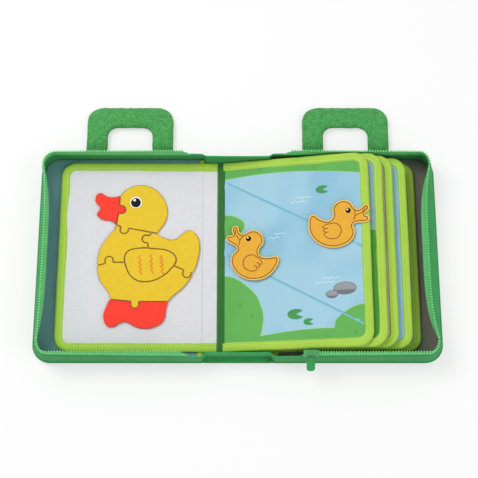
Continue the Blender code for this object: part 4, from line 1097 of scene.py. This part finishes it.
def shrunk(loop, upward, distance):
    # the loop moved inwards along its own face, smoothed so that it does not cross itself
    count = len(loop)
    middle = sum(loop, Vector()) / count
    area = sum((loop[i] - middle).cross(loop[(i + 1) % count] - middle).dot(upward) for i in range(count))
    inward = distance if area > 0 else -distance
    moved = []
    for i in range(count):
        way = (loop[(i + 1) % count] - loop[i - 1]).normalized()
        moved.append(loop[i] + upward.cross(way) * inward)
    for _ in range(4):
        moved = [(moved[i - 1] + moved[i] * 2 + moved[(i + 1) % count]) / 4 for i in range(count)]
    return moved


def threadAndShadeLine(name, spots, upward, finish, body, radius, closed=True, lift=0.0):
    # a raised line for sewn threads and for lines of painted shade: a low half-round rope along the spots
    rings, last = [], len(spots) - 1
    for index, spot in enumerate(spots):
        if closed:
            way = spots[(index + 1) % len(spots)] - spots[index - 1]
        else:
            way = spots[min(index + 1, last)] - spots[max(index - 1, 0)]
        side = way.normalized().cross(upward)
        thick = radius * (1 + 0.22 * (index % 2))
        rings.append([spot + upward * lift + side * c * thick + upward * s * thick * 0.75
                      for c, s in (compass(turn * 60) for turn in range(6))])
    if closed:
        rings.append([p.copy() for p in rings[0]])
    return dress(loft(name, rings, sharp=80), finish, body)


discSteps = ((1.0, -0.2), (1.0, 0.45), (0.96, 0.8), (0.85, 1.0), (0.02, 1.02))  # shares of radius and height


def discAt(name, middle, upward, radius, finish, body, high=0.0003, around=28):
    # a small disc with a softly rounded edge, for printed and stamped marks and for painted glints
    wide, low = discSteps[0]
    bpy.ops.object.select_all(action="DESELECT")
    bpy.ops.mesh.primitive_circle_add(vertices=around, radius=radius, fill_type="NGON", location=(0, 0, high * low))
    disc = startPiece(name)
    for share, rise in discSteps[1:]:
        extrudeBy((0, 0, high * (rise - low)), (share / wide, share / wide, 1))
        wide, low = share, rise
    faceOutwards()
    bpy.ops.object.mode_set(mode="OBJECT")
    side = upward.orthogonal().normalized()
    disc.data.transform(turned(upward.cross(side), -side, upward, middle))
    smooth(disc)
    return dress(disc, finish, body)


def topOf(node, upward):
    return max(Vector(v.co).dot(upward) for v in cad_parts[node].data.vertices)


puzzle = {
    "parts": ("bill", "head", "chest", "tail", "wing", "belly", "feet"), "red": ("bill", "feet"),
    "eye": (("White", 0.0068, "whitePrintAndGlint", (0, 0, -0.0002), 0.0004, 28),
            ("Pupil", 0.0056, "black", (-0.0001, -0.0003, 0.0002), 0.00025, 28),
            # the glint is a painted highlight on the eye
            ("Glint", 0.0015, "whitePrintAndGlint", (-0.0016, 0.0027, 0.00045), 0.00015, 16)),
    "zigzags": ((0.32, 0.20), (0.54, 0.23), (0.74, 0.20)), "zigzagLong": 0.58, "zigzagWide": 0.0013,
    "zigzagTurns": 8.5, "zigzagRadius": 0.00048,
}


def makePuzzle():
    up = pageUp(1)
    for part in puzzle["parts"]:
        node, name = f"puzzle_{part}", f"duck{part.capitalize()}"
        # the rim line along each piece's edge is painted shade: dark brown on the yellow pieces, darker red on the
        # red ones
        shade, line = ("red", "redEdgeShade") if part in puzzle["red"] else ("yellow", "edgeShade")
        piece = softCopy(node, name, felt["puzzleVoxel"], felt["puzzleRounds"])
        dress(piece, f"{shade}Felt", node, node)
        rim = shrunk(resampled(outlineOf(node, up), felt["rimGap"]), up, felt["rimIn"])
        threadAndShadeLine(f"{name}Rim", rim, up, line, node, felt["rimRadius"], lift=felt["rimLift"])
    low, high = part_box("puzzle_eye")
    eye = (Vector(low) + Vector(high)) / 2
    for name, radius, finish, (x, y, above), thick, around in puzzle["eye"]:
        disc = discAt(f"duckEye{name}", eye + up * above + Vector((x, y, 0)), up, radius, finish, "puzzle_head",
                      thick, around)
        if name == "White":
            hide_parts("puzzle_eye")
    low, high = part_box("puzzle_wing")
    top = topOf("puzzle_wing", up)
    for count, (x, start) in enumerate(puzzle["zigzags"]):
        spots = []
        for share in even(0, 1, 48):
            swing = puzzle["zigzagWide"] * math.sin(share * puzzle["zigzagTurns"] * math.pi) - 0.002 * share
            place = Vector((high[0] * x + low[0] * (1 - x) + swing,
                            low[1] + (high[1] - low[1]) * (start + puzzle["zigzagLong"] * share), 0))
            spots.append(place + up * (top - place.dot(up)))
        threadAndShadeLine(f"wingZigzag{count + 1}", spots, up, "orangeThread", "puzzle_wing",
                   puzzle["zigzagRadius"], closed=False)


duckDrawing = {  # shares of the duck's width and height from its middle; slits are shares of the page
    "size": (0.068, 0.054), "grip": (0.02, -0.22), "tilt": {"left": -32.0, "right": 0.0},
    "slit": {"left": ((0.10, -0.015), (0.90, -0.358)), "right": ((0.10, 0.367), (0.90, 0.028))},
    "share": {"left": 0.10, "right": 0.87}, "top": 0.00495,
    "lines": {
        "Wing": (0.00040, [(0.235, -0.010), (0.165, 0.010), (0.060, 0.015), (-0.015, -0.060), (-0.030, -0.170),
                           (0.020, -0.280), (0.110, -0.310), (0.190, -0.290)]),
        "Bill": (0.00042, [(-0.252, 0.260), (-0.262, 0.160), (-0.235, 0.060)]),
        "Smile": (0.00036, [(-0.262, 0.150), (-0.330, 0.185), (-0.395, 0.235), (-0.430, 0.300)]),
        "Feather1": (0.00038, [(0.235, -0.010), (0.275, -0.055), (0.225, -0.085)]),
        "Feather2": (0.00038, [(0.225, -0.085), (0.265, -0.130), (0.215, -0.165)]),
        "Feather3": (0.00038, [(0.215, -0.165), (0.250, -0.215), (0.190, -0.290)]),
        "Feather4": (0.00038, [(0.225, -0.085), (0.180, -0.080)]),
        "Feather5": (0.00038, [(0.215, -0.165), (0.170, -0.160)]),
    },
    "eye": (-0.150, 0.265), "eyeSize": 0.0029, "glint": (-0.0008, 0.0010), "glintSize": 0.0009,
}


def slitEnds(word):
    # both ends of a slit on page 2: distance along and across, in metres
    return [Vector((x * leafShape["length"], y * leafShape["half"] * 2)) for x, y in duckDrawing["slit"][word]]


def duckSpot(word, x, y):
    # a place on a felt duck, from shares of its width and height
    d, facing = duckDrawing, 1 if word == "left" else -1
    start, end = slitEnds(word)
    grip = start.lerp(end, d["share"][word])
    c, s = compass(d["tilt"][word])
    px, py = (x - d["grip"][0]) * d["size"][0] * facing, (y - d["grip"][1]) * d["size"][1]
    return leafPlace(2, grip.x + px * c - py * s, grip.y + px * s + py * c, d["top"])


def smoothRoute(shares, steps=8):
    # a soft line through a few places
    route, last = [], len(shares) - 1
    for i in range(last):
        a, b, c, d = (Vector(shares[min(max(i + k, 0), last)]) for k in (-1, 0, 1, 2))
        for t in (step / steps for step in range(steps)):
            route.append(0.5 * (2 * b + (c - a) * t + (2 * a - 5 * b + 4 * c - d) * t * t
                                + (3 * b - a - 3 * c + d) * t ** 3))
    return route + [Vector(shares[-1])]


def makeFeltDuck(word):
    node, up = f"{word}_felt_duck", pageUp(2)
    top = topOf(node, up)

    def onTop(x, y, above=0.0):
        place = duckSpot(word, x, y)
        return place + up * (top - place.dot(up) + above)

    piece = softCopy(node, f"{word}Duck", felt["duckVoxel"], felt["duckRounds"])
    dress(piece, "orangeFelt", node, node)
    outline = resampled(outlineOf(node, up), felt["threadPitch"])
    threadAndShadeLine(f"{word}DuckEdge", shrunk(outline, up, felt["edgeIn"]), up, "paleFelt", node,
               felt["edgeRadius"], lift=felt["edgeLift"])
    threadAndShadeLine(f"{word}DuckStitches", shrunk(outline, up, felt["outlineIn"]), up, "brownThread", node,
               felt["outlineRadius"])
    for name, (radius, shares) in duckDrawing["lines"].items():
        spots = resampled([onTop(p.x, p.y) for p in smoothRoute(shares)], felt["threadPitch"], False)
        threadAndShadeLine(f"{word}Duck{name}", spots, up, "brownThread", node, radius, False)
    eye, glint = duckDrawing["eye"], Vector((*duckDrawing["glint"], 0))
    discAt(f"{word}DuckEye", onTop(*eye, 0.00005), up, duckDrawing["eyeSize"], "black", node, 0.0003, 20)
    # the glint is a painted highlight on the bead eye
    discAt(f"{word}DuckGlint", onTop(*eye, 0.0003) + glint, up, duckDrawing["glintSize"], "whitePrintAndGlint", node,
           0.0002, 14)


# the print on page 2, a plain pond with banks; places are from the page's root and middle
pond = {
    "water": colour(160, 203, 222), "deep": colour(140, 190, 214), "ripple": colour(226, 240, 246),
    "grass": colour(98, 176, 84), "blades": colour(70, 146, 64), "grassEdge": colour(150, 205, 120),
    "stone": colour(150, 152, 158), "stoneShade": colour(112, 115, 122), "lily": colour(64, 150, 84),
    "ripples": ((0.094, 0.060, 0.011), (0.122, -0.034, 0.013), (0.066, 0.020, 0.008)),
    "banks": ((-0.006, -0.074, 0.056, 0.052, 0.004), (0.168, -0.088, 0.040, 0.026, 0.003),
              (0.000, 0.034, 0.030, 0.014, 0.003)),
    "tufts": ((0.024, -0.060, 0.0065), (0.037, -0.071, 0.0055), (0.110, 0.094, 0.0050), (0.046, 0.097, 0.0050),
              (0.150, -0.094, 0.0055), (0.018, 0.033, 0.0050)),
    "lilies": ((0.118, 0.070, 0.0075, 0.0048), (0.086, -0.070, 0.0095, 0.0058), (0.100, -0.079, 0.0060, 0.0038)),
    "stones": ((0.140, -0.044, 0.0125, 0.0072), (0.126, -0.050, 0.0070, 0.0044)),
}


def shaded(cloth, layers, shade, low):
    # the printed colours with the cloth's own light and dark on top
    shading = cloth.mix(shade.clamped(), (low, low, low), (1.0, 1.0, 1.0))
    cloth.paint(cloth.mix(1.0, layers, shading, "MULTIPLY"))


def pondFinish():
    cloth = Finish("pond page cloth", pond["water"], 0.85, Sheen_Weight=0.12, Sheen_Roughness=0.5)
    x, y, _ = cloth.place()
    along, across = (x + 0.0205) * 1.0275, y
    wobble, fine = cloth.grain(34, 2) - 0.5, cloth.grain(420, 3)

    def soft(distance, width=0.0004):
        # 1 inside a shape, 0 outside, from a distance in metres that is negative inside
        return (0.5 - distance / width).clamped()

    def oval(cx, cy, rx, ry, wobbly=0.0):
        u, v = (along - cx) / rx, (across - cy) / ry
        return ((u * u + v * v).root() - 1) * min(rx, ry) + wobble * wobbly

    layers = cloth.mix(soft((cloth.grain(16, 1) - 0.5) * 0.02, 0.004), pond["water"], pond["deep"])
    for cx, cy, rx in pond["ripples"]:
        for step in (-0.0022, 0.0022):
            line = (across - cy - step - (along * 900 + step * 500).sine() * 0.0007).size() - 0.00035
            ends = (along - cx - step * 1.6).size() - rx * (1 - abs(step) * 90)
            layers = cloth.mix(soft(line.most(ends)) * 0.75, layers, pond["ripple"])
    top = across * -1 + 0.0870 + (along * 17 + 0.4).sine() * 0.0075
    bank = top.least(across + 0.0930 + (along * 22 + 2.2).sine() * 0.0060)
    for place in pond["banks"]:
        bank = bank.least(oval(*place))
    layers = cloth.mix(soft(bank - 0.0007), layers, pond["grassEdge"])
    field = cloth.mix(soft((cloth.grain(22, 1) - 0.52) * 0.02, 0.003), pond["grass"], tint(pond["grass"], 0.95))
    layers = cloth.mix(soft(bank), layers, field)
    for cx, cy, high in pond["tufts"]:
        for lean in (-0.45, 0.0, 0.45):
            blade = (along - cx - (across - cy) * lean).size() - (high - (across - cy)) * 0.10
            layers = cloth.mix(soft(blade.most(cy - across)) * 0.75, layers, pond["blades"])
    for cx, cy, rx, ry in pond["lilies"]:
        notch = ((across - cy).size() - (along - cx) * 0.45).most(0 - (along - cx))
        layers = cloth.mix(soft(oval(cx, cy, rx, ry).most(0 - notch)), layers, pond["lily"])
    for cx, cy, rx, ry in pond["stones"]:
        stone = oval(cx, cy, rx, ry, 0.0010)
        layers = cloth.mix(soft(stone), layers, pond["stoneShade"])
        layers = cloth.mix(soft(stone + 0.0006) * soft(cy - 0.0016 - across, 0.0012), layers, pond["stone"])
    threads = (x * 6280).sine() * (y * 6280).sine()
    shaded(cloth, layers, 0.5 + (fine - 0.5) * 1.2 + threads * 0.14, 0.93)
    cloth.bump(threads * 0.5 + fine * 0.8, 0.4, 0.0003)
    return cloth


def meadowFinish():
    # page 3: two fields that meet in a wavy line across the page
    upper, lower, border, wave = colour(132, 166, 176), colour(64, 140, 44), 0.024, 0.003
    cloth = Finish("meadow page cloth", upper, 0.86, Sheen_Weight=0.12, Sheen_Roughness=0.5)
    x, y, _ = cloth.place()
    fine, wobble = cloth.grain(420, 3), cloth.grain(30, 2) - 0.5
    line = y - border + (x * 60).sine() * wave + wobble * 0.01
    shaded(cloth, cloth.mix((0.5 - line / 0.0006).clamped(), upper, lower), 0.5 + (fine - 0.5) * 1.4, 0.92)
    cloth.bump(fine, 0.4, 0.0003)
    return cloth


finishes["pond"] = pondFinish()
finishes["meadow"] = meadowFinish()

slit = {
    "width": 0.0007, "deep": 0.012, "runOn": 0.055, "lipOut": 0.0002, "lipHigh": 0.0001,
    "bars": 5, "barGap": 0.0006, "barIn": 0.0008, "barLift": 0.0002,
    "barLong": 0.0030, "barWide": 0.0004, "barHigh": 0.0004,
    "lips": ((-1, "cyanThread", 0.00062), (1, "slate", 0.00036)),  # front lip of cyan thread, back line of painted slit shadow
}


def cutSlits(pad):
    for word in ("left", "right"):
        start, end = slitEnds(word)
        way = (end - start).normalized() * slit["width"] / 2
        side = Vector((-way.y, way.x))
        ring = []
        for middle, turns in ((start, even(90, 270, 6)), (end, even(-90, 90, 6))):
            ring += [middle + way * c + side * s for c, s in map(compass, turns)]
        rings = [[leafPlace(2, p.x, p.y, h) for p in ring] for h in (-slit["deep"] / 2, slit["deep"] / 2)]
        cutter = loft(f"{word}SlitCutter", rings)
        cut = pad.modifiers.new("slit", "BOOLEAN")
        cut.object, cut.operation, cut.solver = cutter, "DIFFERENCE", "EXACT"
        choose(pad)
        bpy.ops.object.modifier_apply(modifier=cut.name)
        bpy.data.objects.remove(cutter)
        rimSlit(word, start, end)
    smooth(pad)


def rimSlit(word, start, end):
    # a sewn cyan lip along the front side of the slit, a line of painted shadow along its back side, and bar
    # stitches at its ends
    way = (end - start).normalized()
    up, side = pageUp(2), Vector((-way.y, way.x))
    for count, (sign, thread, radius) in enumerate(slit["lips"]):
        spots = []
        for share in even(-slit["runOn"], 1 + slit["runOn"], 120):
            p = start.lerp(end, share) + side * sign * (slit["width"] / 2 + slit["lipOut"])
            spots.append(leafPlace(2, p.x, p.y, pageSkin(2, p.x, p.y) + slit["lipHigh"]))
        threadAndShadeLine(f"{word}SlitLip{count + 1}", spots, up, thread, "leaf_2", radius, False)
    bars = []
    for place, out in ((start, -1), (end, 1)):
        for step in range(slit["bars"]):
            p = place + way * out * (slit["barGap"] * step - slit["barIn"])
            high = pageSkin(2, p.x, p.y) + slit["barLift"]
            here = leafPlace(2, p.x, p.y, high)
            ahead = leafPlace(2, p.x + side.x * 0.001, p.y + side.y * 0.001, high)
            bars.append((here, ahead - here, up))
    stitches(f"{word}SlitBars", bars, "cyanThread", "leaf_2", slit["barLong"], slit["barWide"], slit["barHigh"])


def makePages():
    for leaf, finish in page["finish"].items():
        pad = makePad(leaf)
        if leaf == 2:
            cutSlits(pad)
        dress(pad, finish, f"leaf_{leaf}", f"leaf_{leaf}_pad")
        if leaf == 1:
            makeRootTapes()
        dress(makeBinding(leaf), "lime", f"leaf_{leaf}", f"leaf_{leaf}_binding")
        bindingStitches(leaf)
        print("page", leaf, "done")


def paintPackedParts():
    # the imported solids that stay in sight, the slider and its tab, get their finishes
    for node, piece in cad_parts.items():
        if node in ("zip_slider", "zip_pull") or not piece.data.materials or piece.data.materials[0] is None:
            piece.data.materials.clear()
            piece.data.materials.append(finishes["enamel" if node == "zip_slider" else "case"].material)


makeBoards()
makeSpine()
for side in sideWords:
    makeWalls(side)
print("case done")
makeGutter()
makeRoots()
makeEndStrips()
makeFoldGores()
for side in sideWords:
    makeHandle(side)
print("book block and handles done")
makePages()
makePuzzle()
for word in ("left", "right"):
    makeFeltDuck(word)
paintPackedParts()
print("play pieces done")
